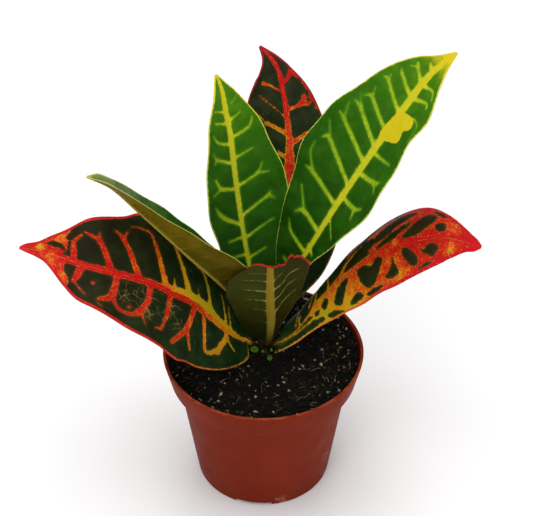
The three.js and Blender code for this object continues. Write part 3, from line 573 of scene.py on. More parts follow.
        look="green",
    ),
    "leaf_low_right": dict(
        PLAIN,
        rib=[(0.8, 3.8, 86.6), (9.5, 2, 96.5), (21.5, 2, 109), (41.5, 4, 138), (61, 4, 157), (77.5, 2, 168),
             (102, -2, 177), (121.9, -8, 175.5)],
        facing=[(0, (-0.5, -0.5, 0.75)), (1, (-0.1, -0.5, 0.85))],
        left=[(0, 2), (0.05, 8), (0.1, 12), (0.2, 16), (0.3, 20), (0.4, 23), (0.5, 26), (0.6, 29),
              (0.7, 29), (0.8, 23.5), (0.9, 11), (0.95, 6), (0.98, 3.5), (1, 0.8)],
        right=[(0, 2), (0.02, 4), (0.05, 5.5), (0.1, 6.8), (0.15, 8.2), (0.2, 10.8), (0.3, 16.2),
               (0.4, 19.6), (0.5, 20.6), (0.6, 21), (0.7, 19.5), (0.8, 16), (0.9, 11), (0.95, 5.5),
               (0.98, 3.5), (1, 0.8)],
        fold_left=[(0, 5), (0.15, 2), (0.3, -4), (0.5, 5), (1, 5)], fold_right=[(0, 14), (0.2, 4), (1, 0)],
        curl_left=[(0, -30), (0.15, -80), (0.35, -105), (0.5, -95), (0.65, -75), (0.8, -45), (1, -10)],
        curl_right=level(-15), lobe_right=12, wave=(0.8, 5, 0.6), petiole=1.9,
        midrib=[(0, 0.45, 0.1), (0.07, 0.32, 0.15), (0.12, 0.14, 0.25), (0.187, 0.03, 0.6),
                (0.24, -0.05, 0.8), (0.33, 0, 0.9), (0.374, -0.03, 1.2), (0.443, 0, 1.4),
                (0.51, -0.02, 1.6), (0.58, -0.04, 1.9), (0.7, -0.03, 2.2), (0.89, 0, 2.2), (1, 0, 1.5)],
        veins=[
            [(0.2, 0.02, 0.5), (0.248, -0.2, 0.8), (0.27, -0.5, 0.5), (0.35, -0.72, 0.5)],
            [(0.32, -0.02, 0.7), (0.332, -0.18, 0.6), (0.34, -0.6, 0.4)],
            [(0.374, -0.02, 0.9), (0.406, -0.11, 0.9), (0.437, -0.24, 0.8), (0.52, -0.42, 0.7)],
            [(0.12, 0.02, 0.3), (0.125, -0.18, 0.6), (0.14, -0.26, 0.2)],
            [(0.16, 0.45, 0.4), (0.19, 0.4, 0.7), (0.23, 0.55, 0.6)],
            [(0.3, -0.4, 0.5), (0.4, -0.7, 0.6), (0.5, -0.98, 0.7)],
            [(0.45, -0.42, 0.7), (0.52, -0.7, 0.8), (0.6, -0.98, 0.9)],
            [(0.2, -0.2, 0.5), (0.26, -0.6, 0.5), (0.32, -0.98, 0.5)],
            [(0.1, -0.1, 0.4), (0.14, -0.6, 0.4)], [(0.03, 0.35, 0.2), (0.1, 0.42, 0.25), (0.16, 0.4, 0.2)],
        ],
        vein_width=(0.8, 0.6),
        islands=[
            [(0.47, 0.14), (0.49, 0.04), (0.52, 0.07), (0.54, 0.18), (0.57, 0.05), (0.6, 0.12),
             (0.58, 0.36), (0.53, 0.66), (0.49, 0.7), (0.47, 0.5)],
            [(0.68, 0.1), (0.7, 0.05), (0.73, 0.3), (0.745, 0.6), (0.72, 0.74), (0.69, 0.45)],
            [(0.748, 0.2), (0.775, 0.27), (0.785, 0.16), (0.81, 0.13), (0.83, 0.26), (0.827, 0.5),
             (0.8, 0.66), (0.782, 0.5), (0.765, 0.42)],
            [(0.64, 0.22), (0.645, 0.45), (0.655, 0.68), (0.62, 0.78), (0.58, 0.66), (0.62, 0.45)],
            [(0.77, 0.74), (0.8, 0.78), (0.78, 0.89), (0.73, 0.86)],
            [(0.317, 0.42), (0.352, 0.2), (0.381, 0.1), (0.415, 0.07), (0.427, 0.1), (0.411, 0.26),
             (0.385, 0.4), (0.35, 0.64), (0.325, 0.69), (0.31, 0.57)],
            [(0.39, 0.72), (0.415, 0.62), (0.437, 0.64), (0.451, 0.75), (0.45, 0.83), (0.42, 0.87),
             (0.388, 0.88), (0.374, 0.85)],
            [(0.462, 0.79), (0.495, 0.79), (0.53, 0.79), (0.56, 0.81), (0.55, 0.88), (0.5, 0.93),
             (0.465, 0.89)], [(0.203, 0.22), (0.222, 0.2), (0.236, 0.27), (0.222, 0.43), (0.204, 0.43)],
            [(0.276, 0.09), (0.296, 0.12), (0.296, 0.25), (0.275, 0.4), (0.254, 0.44), (0.253, 0.25)],
            [(0.165, 0.59), (0.18, 0.5), (0.2, 0.54), (0.222, 0.57), (0.234, 0.67), (0.224, 0.83),
             (0.2, 0.88), (0.17, 0.85)],
            [(0.257, 0.7), (0.278, 0.69), (0.313, 0.81), (0.329, 0.93), (0.306, 0.96), (0.265, 0.93),
             (0.248, 0.84)],
            [(0.69, -0.18), (0.74, -0.42), (0.8, -0.72), (0.83, -0.65), (0.8, -0.35), (0.76, -0.18),
             (0.72, -0.12)], [(0.82, -0.24), (0.82, -0.42), (0.855, -0.56), (0.86, -0.3), (0.84, -0.18)],
            [(0.58, -0.14), (0.63, -0.28), (0.72, -0.5), (0.73, -0.42), (0.66, -0.18), (0.61, -0.12)],
            [(0.81, -0.82), (0.85, -0.95), (0.87, -0.84), (0.84, -0.73)],
            [(0.57, -0.3), (0.62, -0.58), (0.7, -0.78), (0.76, -0.76), (0.7, -0.52), (0.62, -0.28)],
            [(0.44, -0.16), (0.5, -0.38), (0.57, -0.46), (0.58, -0.26), (0.51, -0.13)],
            [(0.53, -0.48), (0.62, -0.7), (0.72, -0.9), (0.62, -0.97), (0.54, -0.75)],
            [(0.89, -0.72), (0.9, -0.76), (0.905, -0.7)], [(0.905, -0.48), (0.915, -0.54), (0.92, -0.48)],
            [(0.885, 0.7), (0.895, 0.78), (0.9, 0.7)],
        ],
        margin_width=[(0, 0.1), (0.05, 0.3), (0.12, 0.7), (0.3, 1.1), (0.5, 1.4), (0.65, 2), (1, 2.4)],
        warmth_left=[(0, 0.35), (0.2, 0.32), (0.35, 0.42), (0.5, 0.62), (0.62, 0.8), (0.75, 0.95), (1, 1)],
        warmth_right=[(0, 0.35), (0.2, 0.28), (0.3, 0.34), (0.4, 0.48), (0.5, 0.6), (0.6, 0.75),
                      (0.7, 0.92), (1, 1)],
        flood=(0.55, 0.19), cooling=(0.1, 0.1), tip_start=0.93, look="red",
        glows=[(0.89, 0.45, 5, -0.5), (0.88, -0.5, 4.5, -0.4), (0.66, 0.85, 6, -0.45),
               (0.65, 0.3, 3, -0.35), (0.66, -0.1, 3, -0.4), (0.37, 0.85, 5, -0.3), (0.26, 0.6, 4, -0.25),
               (0.2, 0.7, 5, -0.25)],
    ),
    "leaf_front_small": dict(
        PLAIN,
        rib=[(0.3, 3, 91), (3, -2.4, 100), (4.5, -9.5, 123.2), (4, -15, 142.4), (4, -18.5, 160.6),
             (4, -21, 172)],
        facing=[(0, (0.2, 0.9, 0.1)), (1, (0.2, 0.9, 0.1))],
        left=[(0, 2), (0.1, 3.6), (0.2, 5), (0.3, 7.4), (0.4, 10), (0.5, 13), (0.6, 15.7), (0.7, 18),
              (0.8, 19.6), (0.9, 21.3), (1, 22)],
        right=[(0, 2), (0.02, 9), (0.05, 13.5), (0.09, 16.5), (0.15, 18), (0.23, 20), (0.3, 22),
               (0.4, 24.5), (0.5, 26), (0.6, 26.5), (0.7, 26), (0.8, 24.5), (0.9, 20), (1, 15)],
        fold_left=level(15), fold_right=level(5), lobe_right=4, wave=(0.7, 3, 0), petiole=1.5,
        torn=[(-1, 3), (-0.85, 6.5), (-0.6, 9), (-0.48, 8), (-0.42, 5), (-0.34, 1.6), (-0.2, 0.5), (0, 0),
              (0.4, -0.5), (0.7, -3), (1, -9)],
        ragged=[(-1, 1.2), (-0.3, 1.5), (0, 0.6), (0.3, 0.25), (1, 0.2)],
        midrib=[(0, -0.05, 1.7), (0.35, 0, 2.3), (0.6, 0, 2.2), (1, 0, 1.7)],
        veins=[
            [(0.82, 0.03, 0.35), (0.77, 0.7, 0.2)], [(0.7, 0.03, 0.7), (0.66, 0.64, 0.3)],
            [(0.59, 0.04, 0.6), (0.54, 0.6, 0.25)], [(0.45, 0.05, 0.4), (0.42, 0.6, 0.15)],
            [(0.28, 0.06, 0.25), (0.25, 0.55, 0.1)], [(0.91, 0, 0.2), (0.87, 0.6, 0.1)],
            [(0.81, -0.05, 0.4), (0.92, -0.32, 0.2)], [(0.71, -0.05, 0.6), (0.89, -0.75, 0.3)],
            [(0.58, -0.08, 0.5), (0.79, -0.75, 0.25)], [(0.4, -0.1, 0.5), (0.68, -0.83, 0.15)],
        ],
        vein_width=(0.45, 0.3), margin_width=[(0, 0.1), (0.5, 0.3), (0.85, 0.45), (0.95, 0.8), (1, 1.3)],
        **both("warmth", level(0.95)), look="shaded",
    ),
}


def through(pairs):
    """A smooth curve through (share, value) pairs, where a value is a number or a point."""
    shares = np.array([share for share, value in pairs], float)
    values = np.array([value for share, value in pairs], float)
    last = len(shares) - 1

    def slope(a, b, shape):
        return (values[b] - values[a]) / (shares[b] - shares[a]).reshape(shape)

    def at(share):
        s = np.clip(np.asarray(share, float), shares[0], shares[-1])
        k = np.clip(np.searchsorted(shares, s, side="left") - 1, 0, last - 1)
        shape = s.shape + (1,) * (values.ndim - 1)
        step = (shares[k + 1] - shares[k]).reshape(shape)
        u = (s - shares[k]).reshape(shape) / step
        start = slope(np.maximum(k - 1, 0), k + 1, shape) * step
        end = slope(k, np.minimum(k + 2, last), shape) * step
        return ((2 * u**3 - 3 * u**2 + 1) * values[k] + (u**3 - 2 * u**2 + u) * start
                + (3 * u**2 - 2 * u**3) * values[k + 1] + (u**3 - u**2) * end)

    return at


def unit(v):
    return v / np.linalg.norm(v, axis=-1, keepdims=True)


class LeafForm:
    """A leaf's middle surface in millimetres, from the way along its rib and the part of its half width."""

    def __init__(self, leaf):
        self.leaf = leaf
        steps = np.linalg.norm(np.diff(np.array(leaf["rib"], float), axis=0), axis=1)
        way = np.concatenate([[0], np.cumsum(steps)])
        self.foot = way[1] / way[-1]
        self.blade_length = way[-1] - way[1]
        self.rib = through([(w / way[-1], point) for w, point in zip(way, leaf["rib"])])
        self.facing = through(leaf["facing"])
        self.torn = through(leaf["torn"])
        self.ragged = through(leaf["ragged"])
        self.curves = {
            side: {kind: through(leaf[kind + side]) for kind in ("", "fold_", "curl_", "warmth_")}
            for side in ("left", "right")
        }

    def share(self, way):
        return np.clip((way - self.foot) / (1 - self.foot), 0, 1)

    def frame(self, way):
        before, after = np.maximum(way - SMALL_STEP, 0), np.minimum(way + SMALL_STEP, 1)
        ahead = unit(self.rib(after) - self.rib(before))
        up = self.facing(way)
        up = unit(up - ahead * np.sum(up * ahead, axis=-1, keepdims=True))
        return self.rib(way), ahead, up, np.cross(ahead, up)

    def by_side(self, kind, share, across):
        return np.where(across < 0, self.curves["left"][kind](share), self.curves["right"][kind](share))

    def width(self, share, across):
        return self.by_side("", share, across)

    def lobe(self, share, across):
        reach = np.where(across < 0, self.leaf["lobe_left"], self.leaf["lobe_right"])
        rising = np.sin((math.pi / 2) * np.minimum(share / LOBE_PEAK, 1))
        falling = np.cos((math.pi / 2) * np.clip((share - LOBE_PEAK) / (LOBE_END - LOBE_PEAK), 0, 1)) ** 2
        return reach * np.where(share < LOBE_PEAK, rising, falling)

    def point(self, way, across):
        centre, ahead, up, right = self.frame(way)
        share = self.share(way)
        reach = np.abs(across)
        width = self.width(share, across)
        lift = np.radians(self.by_side("fold_", share, across))
        bend = np.radians(self.by_side("curl_", share, across))
        bend = np.where(np.abs(bend) < SMALL_STEP, SMALL_STEP, bend)
        out = width * (np.sin(lift + bend * reach) - np.sin(lift)) / bend
        rise = width * (np.cos(lift) - np.cos(lift + bend * reach)) / bend
        height, count, start = self.leaf["wave"]
        turn = count * share + start + np.where(across < 0, LEFT_WAVE_LEAD, 0)
        rise = rise + height * reach**2 * np.sin(2 * math.pi * turn) * np.sin(math.pi * share)
        tear = sum(part * np.sin(turns * across + start) for turns, part, start in TEAR_TURNS)
        forward = (self.torn(across) * share**2 + self.ragged(across) * tear * share**TEAR_POWER
                   - self.lobe(share, across) * reach**2)
        sideways = np.sign(across) * out
        return centre + right * sideways[..., None] + up * rise[..., None] + ahead * forward[..., None]

    def normal(self, way, across):
        """The way the upper side looks at a place."""
        low = np.maximum(across - SMALL_STEP, -1)
        high = np.minimum(across + SMALL_STEP, 1)
        before = np.maximum(way - SMALL_STEP, 0)
        after = np.minimum(way + SMALL_STEP, 1)
        across_way = self.point(way, high) - self.point(way, low)
        ahead_way = self.point(after, across) - self.point(before, across)
        return unit(np.cross(across_way, ahead_way))

    def flat(self, share, across):
        """A place on the blade laid flat: millimetres to the right of the rib, and along it."""
        return np.stack([across * self.width(share, across), share * self.blade_length], axis=-1)


def nearest(places, path):
    """The distance from flat places to a path of flat points, and how far along the path the nearest is."""
    best = np.full(places.shape[:-1], np.inf)
    along = np.zeros(places.shape[:-1])
    for n in range(len(path) - 1):
        start, leg = path[n], path[n + 1] - path[n]
        u = np.clip(((places - start) @ leg) / max(leg @ leg, 1e-9), 0, 1)
        away = np.linalg.norm(places - start - u[..., None] * leg, axis=-1)
        along = np.where(away < best, (n + u) / (len(path) - 1), along)
        best = np.minimum(best, away)
    return best, along


def outside(form, places, outline):
    """Millimetres outside a rounded outline on the flat blade, less than 0 inside it."""
    points = [outline[-1], *outline, *outline[:2]]
    turns = np.linspace(1, len(outline) + 1, OUTLINE_STEPS * len(outline), endpoint=False)
    curve = through(list(enumerate(points)))(turns)
    corners = form.flat(curve[:, 0], curve[:, 1])
    edge, _ = nearest(places, np.concatenate([corners, corners[:1]]))
    inside = np.zeros(places.shape[:-1], bool)
    for a, b in zip(corners, np.roll(corners, -1, axis=0)):
        crosses = (a[1] > places[..., 1]) != (b[1] > places[..., 1])
        limit = a[0] + (places[..., 1] - a[1]) * (b[0] - a[0]) / (b[1] - a[1] + 1e-9)
        inside ^= crosses & (places[..., 0] < limit)
    return np.where(inside, -edge, edge)


def beside(form, places, path, widths=(1, 1)):
    """Millimetres from a painted path's edge, less than 0 on it, and from its middle, and its strength."""
    root, end = widths
    points = []
    for s, v, *width in path:
        points.append((s, v, *(width or [root + (end - root) * min(abs(v) / VEIN_REACH, 1)])))
    curve = through(list(enumerate(points)))(np.linspace(0, len(points) - 1, PATH_STEPS * len(points)))
    away, along = nearest(places, form.flat(curve[:, 0], curve[:, 1]))
    half = np.interp(along, np.linspace(0, 1, len(curve)), curve[:, 2])
    return away - np.maximum(half, THINNEST_LINE), away, np.clip(half / THINNEST_LINE, 0, 1)


def uneven_at(places):
    """A value from about -1 to 1 that changes unevenly over the flat blade."""
    x, y = places[..., 0], places[..., 1]
    total = 0
    for turn, part in UNEVEN_WAVES:
        bent_x = turn * x + 2 * np.sin(0.6 * turn * y)
        bent_y = turn * y + 2 * np.sin(0.7 * turn * x)
        total = total + part * np.sin(bent_x) * np.cos(bent_y)
    return total


def webbed(edge):
    """A vein's part in the sum that joins veins by a soft web."""
    return np.exp(-np.clip(edge, *WEB_LIMITS) / VEIN_WEB)


def painted_fields(leaf, form, share, across):
    """What the leaf's colours follow: shares, strengths, and millimetres that are under 0 inside a mark."""
    places = form.flat(share, across)
    uneven = uneven_at(places)

    def marked(outline):
        return outside(form, places, outline) if outline else np.full(share.shape, FAR)

    rib, spine, strength = beside(form, places, leaf["midrib"])
    joined = webbed(rib)
    closest = rib
    for vein in leaf["veins"]:
        edge, _, faint = beside(form, places, vein, leaf["vein_width"])
        joined = joined + webbed(edge)
        strength = np.where(edge < closest, faint, strength)
        closest = np.minimum(edge, closest)
    veins = -VEIN_WEB * np.log(joined)
    flood = np.where(across < 0, *leaf["flood"])
    areas = [(flood - share) * form.blade_length + FLOOD_WANDER * uneven]
    areas += [marked(pool) + ISLAND_WANDER * uneven for pool in leaf["pools"]]
    for area in areas:
        strength = np.where(area < AREA_EDGE, 1, strength)
        veins = np.minimum(veins, area)
    for island in leaf["islands"]:
        veins = np.maximum(veins, -marked(island) - ISLAND_WANDER * uneven)

    to_side = form.width(share, across) - np.abs(places[..., 0])
    to_end = (1 - share) * form.blade_length
    tip_spare = WHOLE_TIP_SPARE if leaf["torn"] == PLAIN["torn"] else 0
    to_edge = np.minimum(to_side, to_end + tip_spare)

    middle = through([(s, v) for s, v, _ in leaf["midrib"]])(share) + leaf["split"]
    warmth = form.by_side("warmth_", share, across - middle)
    cooling = np.where(across < middle, *leaf["cooling"])
    past_core = np.maximum(spine - leaf["core"], 0)
    warmth = warmth - cooling * (1 - np.exp(-((past_core / COOLING_FALL) ** 2)))
    for at_share, at_across, reach, change in leaf["glows"]:
        away = np.linalg.norm(places - form.flat(np.array([at_share]), np.array([at_across])), axis=-1)
        warmth = warmth + change * np.exp(-((away / reach) ** 2))
    return {
        "veins": veins,
        "strength": strength,
        "rib": rib,
        "spine": spine,
        "margin": to_edge - through(leaf["margin_width"])(share),
        "patch": marked(leaf["patch"]),
        "scuffs": marked(leaf["scuffs"]),
        "warmth": warmth,
        "share": share,
        "across": across,
        "tip": (share - leaf["tip_start"]) / (1 - leaf["tip_start"]),
    }


def leaf_grid(leaf, form):
    """Each point's way along the rib and part of the half width, with columns closer near the rib."""
    even = np.linspace(0, 1, round(ROWS_PER_MM * form.blade_length))
    rows_share = 0.5 * (even + 0.5 * (1 - np.cos(math.pi * even)))
    petiole_way = np.linspace(PETIOLE_START * form.foot, form.foot, PETIOLE_ROWS, endpoint=False)
    rows = np.concatenate([petiole_way, form.foot + (1 - form.foot) * rows_share])
    widest = max(width for _, width in leaf["left"] + leaf["right"])
    half = np.linspace(0, 1, round(HALF_COLUMNS_PER_MM * widest) + 1)
    half = EVEN_COLUMNS * half + (1 - EVEN_COLUMNS) * half**CROWDING
    return np.meshgrid(rows, np.concatenate([-half[:0:-1], half]), indexing="ij")


def blade_sheets(form, way, across, veins):
    """The blade's upper and lower side: quilted between the veins, with a groove above and a ridge below."""
    share = form.share(way)
    rib_column = across.shape[1] // 2
    middle = form.point(way, across)
    normal = form.normal(way, across)
    normal[:, rib_column] = form.frame(way[:, rib_column])[2]
    quilt = QUILT_HEIGHT * (1 - np.exp(-((np.maximum(veins, 0) / QUILT_REACH) ** 2)))
    quilt *= smooth(1 - np.abs(across), 0, 0.15) * smooth(share, 0, 0.1)
    inside = smooth(-veins, -0.6, 0.6) * smooth(share, 0, 0.05) * (1 - smooth(share, 0.85, 1))
    side = np.abs(across) * form.width(share, across)
    ridge = RIDGE_DEPTH_FOOT + (RIDGE_DEPTH_TIP - RIDGE_DEPTH_FOOT) * np.sqrt(share)
    ridge = ridge * np.exp(-((side / (RIDGE_HALF_WIDTH * (1.2 - 0.6 * share))) ** 2))
    half_thick = 0.5 * BLADE_THICKNESS * (1 - 0.5 * smooth(np.abs(across), MARGIN_START, 1))
    top = middle + normal * (quilt + half_thick - GROOVE_DEPTH * inside)[..., None]
    bottom = middle + normal * (quilt - half_thick - UNDER_VEIN_DEPTH * inside - ridge)[..., None]
    return top, bottom


def with_round_foot(form, radius, way, across, top, bottom):
    """The two sides with a round petiole, which flattens into the blade over the blade's first part."""
    blade_start = form.foot + OPENING_END * (1 - form.foot)
    opening = smooth(way, OPENING_START * form.foot, blade_start)[..., None]
    centre, _, up, right = form.frame(way)
    turn = across * (math.pi / 2) * PETIOLE_ROUNDNESS
    round_side = right * (radius * np.sin(turn))[..., None]
    round_up = up * (radius * np.cos(turn))[..., None]
    top = (centre + round_side + round_up) * (1 - opening) + top * opening
    bottom = (centre + round_side - round_up) * (1 - opening) + bottom * opening
    return top, bottom


def leaf_piece(name, leaf):
    """One leaf: a round petiole that opens into a thin blade with raised veins below."""
    form = LeafForm(leaf)
    way, across = leaf_grid(leaf, form)
    fields = painted_fields(leaf, form, form.share(way), across)
    sheets = blade_sheets(form, way, across, fields["veins"])
    sheets = with_round_foot(form, leaf["petiole"], way, across, *sheets)
    vertices = np.concatenate([sheet.reshape(-1, 3) for sheet in sheets]) * MM
    faces, indices = blade_faces(*way.shape)
    materials = [BLADE_LOOKS[leaf["look"]], UNDERSIDES[leaf["look"]]]
    piece = new_piece(name + "_blade", vertices, faces, materials, [name], indices)
    fields["petiole"] = np.clip((way - form.foot) / form.foot, -1, 0)
    for label, values in fields.items():
        attribute = piece.data.attributes.new(label, "FLOAT", "POINT")
        attribute.data.foreach_set("value", np.tile(values.reshape(-1), 2).astype(np.float32))


def blade_faces(rows, columns):
    """Quads of a closed blade, upper grid first and lower grid second, and their places in the materials."""
    index = np.arange(rows * columns).reshape(rows, columns)
    under = index + rows * columns
    sheet = [index[:-1, :-1], index[:-1, 1:], index[1:, 1:], index[1:, :-1]]
    sheet_under = [under[:-1, :-1], under[1:, :-1], under[1:, 1:], under[:-1, 1:]]
    right = [index[:-1, -1], under[:-1, -1], under[1:, -1], index[1:, -1]]
    left = [index[:-1, 0], index[1:, 0], under[1:, 0], under[:-1, 0]]
    root = [index[0, :-1], under[0, :-1], under[0, 1:], index[0, 1:]]
    tip = [index[-1, :-1], index[-1, 1:], under[-1, 1:], under[-1, :-1]]
    parts = [sheet, sheet_under, right, left, root, tip]
    faces = np.concatenate([np.stack([corner.reshape(-1) for corner in part], axis=-1) for part in parts])
    indices = np.zeros(len(faces), int)
    per_sheet = (rows - 1) * (columns - 1)
    indices[per_sheet:2 * per_sheet] = 1
    return faces.tolist(), indices


# Leaf finishes


RED_TO_YELLOW = stops(
    (0, 168, 150, 20), (0.1, 190, 152, 14), (0.25, 204, 134, 16), (0.45, 202, 84, 22), (0.7, 190, 40, 14),
    (1, 176, 14, 16),
)
GREEN_TO_YELLOW = stops((0, 112, 150, 22), (0.5, 166, 176, 32), (1, 212, 188, 26))
PALE_RIM = stops((0, 140, 158, 60), (0.5, 176, 184, 70), (1, 206, 196, 66))
DARK_RIM = stops(
    (0, 170, 150, 50), (0.12, 176, 110, 30), (0.28, 176, 64, 28), (0.42, 178, 34, 24), (1, 184, 24, 30),
)
BACK_RIM = stops(
    (0, 110, 84, 40), (0.3, 140, 88, 44), (0.5, 130, 44, 34), (0.75, 150, 30, 36), (1, 160, 20, 34),
)
RED_RIM = stops(
    (0, 170, 140, 70), (0.12, 204, 136, 50), (0.35, 206, 96, 34), (0.5, 196, 50, 34), (0.65, 186, 20, 34),
    (1, 186, 8, 30),
)
SHADED_RIM = stops(
    (0, 40, 36, 16), (0.35, 84, 72, 42), (0.6, 62, 42, 22), (0.88, 56, 22, 12), (0.96, 100, 28, 18),
    (1, 176, 46, 30),
)
OLIVE_RIM = stops((0, 140, 150, 60), (0.5, 164, 166, 76), (1, 172, 164, 84))

# The upper sides: stops along the blade for its dark and light parts, its veins by warmth and its margin,
# the tint beside a vein with its share and reach, the colour and share of flecks in the veins, how far in a
# vein's edge colour reaches and its drop in warmth, how patchy and how grainy the vein colour is, how far
# its edges wander and how soft they are, how much it fades towards the margin, and the tip
LOOKS = {
    "dark": dict(
        blade=stops((0, 14, 36, 12), (0.4, 20, 30, 10), (1, 34, 22, 10)),
        light=stops((0, 22, 52, 16), (0.5, 30, 40, 14), (1, 44, 32, 14)), veins=RED_TO_YELLOW, rim=DARK_RIM,
        halo=srgb(70, 46, 12), halo_share=0.6, halo_reach=1.6, fleck=srgb(206, 150, 34), fleck_share=0.1,
        edge=0.3, drop=0.22, patchy=1.3, grainy=1.4, wander=0.8, soft=0.2, fading=0.45,
        tip=srgb(200, 40, 42), tip_wander=2.2,
    ),
    "back": dict(
        blade=stops((0, 12, 34, 10), (0.5, 24, 38, 14), (1, 30, 30, 16)),
        light=stops((0, 20, 46, 14), (0.5, 34, 52, 20), (1, 46, 44, 26)), veins=RED_TO_YELLOW, rim=BACK_RIM,
        halo=srgb(60, 40, 12), halo_share=0.6, halo_reach=1.4, fleck=srgb(60, 40, 14), fleck_share=0.22,
        edge=0.42, drop=0.34, patchy=1.2, grainy=1.5, wander=0.9, soft=0.25, fading=0.35,
        tip=srgb(150, 20, 34), tip_wander=0.8,
    ),
    # Green: the blade is darker towards its foot, as painted shade
    "green": dict(
        blade=stops((0, 18, 52, 6), (0.35, 25, 65, 5), (0.7, 38, 86, 6), (1, 66, 118, 10)),
        light=stops((0, 26, 66, 10), (0.35, 34, 78, 8), (0.7, 48, 98, 8), (1, 86, 136, 14)),
        veins=GREEN_TO_YELLOW, rim=PALE_RIM, halo=srgb(66, 116, 12), halo_share=0.6, halo_reach=1.5,
        fleck=srgb(160, 180, 50), fleck_share=0.02, edge=0.5, drop=0.3, patchy=0.5, grainy=0.4, wander=0.5,
        soft=0.4, fading=0.5, tip=srgb(206, 184, 28), tip_wander=0.5,
    ),
    "red": dict(
        blade=stops((0, 16, 38, 12), (0.45, 26, 34, 10), (1, 44, 26, 12)),
        light=stops((0, 26, 56, 14), (0.5, 38, 44, 12), (1, 56, 36, 16)), veins=RED_TO_YELLOW, rim=RED_RIM,
        halo=srgb(96, 66, 16), halo_share=0.6, halo_reach=1.4, fleck=srgb(204, 150, 40), fleck_share=0.12,
        edge=0.3, drop=0.25, patchy=1.1, grainy=1.4, wander=0.8, soft=0.2, fading=0.0,
        tip=srgb(196, 18, 28), tip_wander=1.6,
    ),
    # Olive: the grey green that grows towards the tip is a painted sheen, and the blade is darker towards
    # its foot
    "olive": dict(
        blade=stops((0, 14, 40, 8), (0.5, 26, 66, 10), (0.65, 40, 78, 24), (0.8, 74, 98, 56),
                    (1, 110, 124, 72)),
        light=stops((0, 20, 52, 10), (0.5, 38, 84, 14), (0.65, 60, 98, 34), (0.8, 98, 120, 76),
                    (1, 130, 142, 84)),
        veins=stops((0, 50, 90, 20), (1, 84, 122, 40)), rim=OLIVE_RIM, halo=srgb(50, 90, 20),
        halo_share=0.3, halo_reach=1.0, fleck=srgb(100, 130, 50), fleck_share=0.02, edge=0.3, drop=0.15,
        patchy=0.3, grainy=0.3, wander=0.4, soft=0.3, fading=0.3, tip=srgb(180, 174, 70), tip_wander=0.5,
    ),
    "shaded": dict(
        blade=stops((0, 14, 36, 10), (0.6, 24, 50, 14), (1, 40, 44, 18)),
        light=stops((0, 20, 46, 12), (0.6, 34, 62, 18), (1, 56, 52, 22)), veins=RED_TO_YELLOW,
        rim=SHADED_RIM, halo=srgb(70, 46, 12), halo_share=0.5, halo_reach=1.2, fleck=srgb(150, 60, 30),
        fleck_share=0.05, edge=0.3, drop=0.2, patchy=0.5, grainy=0.5, wander=0.6, soft=0.2, fading=0.3,
        tip=srgb(150, 30, 20), tip_wander=1,
    ),
}
LEAF_SHINE = 0.05
PETIOLE_COLOUR = srgb(52, 48, 16)
# The petiole's painted shade near the stem
PETIOLE_FOOT_SHADE = srgb(16, 14, 6)
SPINE_LINE = srgb(214, 170, 96)
PATCH_COLOURS = srgb(190, 172, 18), srgb(198, 179, 27)
SCRATCH = srgb(150, 122, 64)
DUST_SPECK = srgb(150, 144, 100)


def leaf_gloss(w, shader, colour):
    """The waxy finish that both sides of a leaf share."""
    roughness = w.fade(w.noise(9 * MM), 0.3, 0.7, 0.38, 0.52)
    finished(w, shader, colour, roughness, LEAF_SHINE, w.group(GRAIN, 1.6, 0.35, 0.5), 0.06)


def with_petiole(w, colour):
    """The blade's colour, and on the petiole a green that darkens towards the stem as painted shade."""
    place = w.attribute("petiole")
    petiole = w.mix(w.fade(place, -0.1, -0.7), PETIOLE_COLOUR, PETIOLE_FOOT_SHADE)
    return w.mix(w.fade(place, 0.0, -0.3), colour, petiole)


# Scratches: how far apart the lines are in millimetres, and their turn
SCRATCHES = [(9, (0, 0.5, 0.4)), (7, (0, 0.1, -0.6)), (11, (0, -0.4, 1.1)), (8, (0.5, 0.9, 0.2))]


def bent(w, turn):
    """A turned place that is gently bent by noise."""
    sway = w.add("ShaderNodeTexNoise", {"Vector": w.place(), "Scale": 1 / (9 * MM), "Detail": 2.0})
    shift = w.vector("SCALE", {0: sway.outputs["Color"], "Scale": 4 * MM})
    return w.vector("ADD", {0: w.moved(turn, (1.6, 1, 1)), 1: shift})


def scratched(w):
    """Fine broken straight scratches on the leaf's scuffed part, in a few directions."""
    lines = 0
    for size, turn in SCRATCHES:
        inputs = {"Vector": bent(w, turn), "Scale": 1 / (size * MM)}
        cells = w.add("ShaderNodeTexVoronoi", inputs, feature="DISTANCE_TO_EDGE")
        line = w.fade(cells.outputs["Distance"], 0.022, 0.006)
        broken = w.fade(w.noise(6 * MM, 3, 0.6, w.moved((turn[2], turn[1], 0.4))), 0.46, 0.62)
        lines = w.math("MAXIMUM", w.times(line, broken), lines)
    return w.times(lines, w.fade(w.attribute("scuffs"), 3, -3))


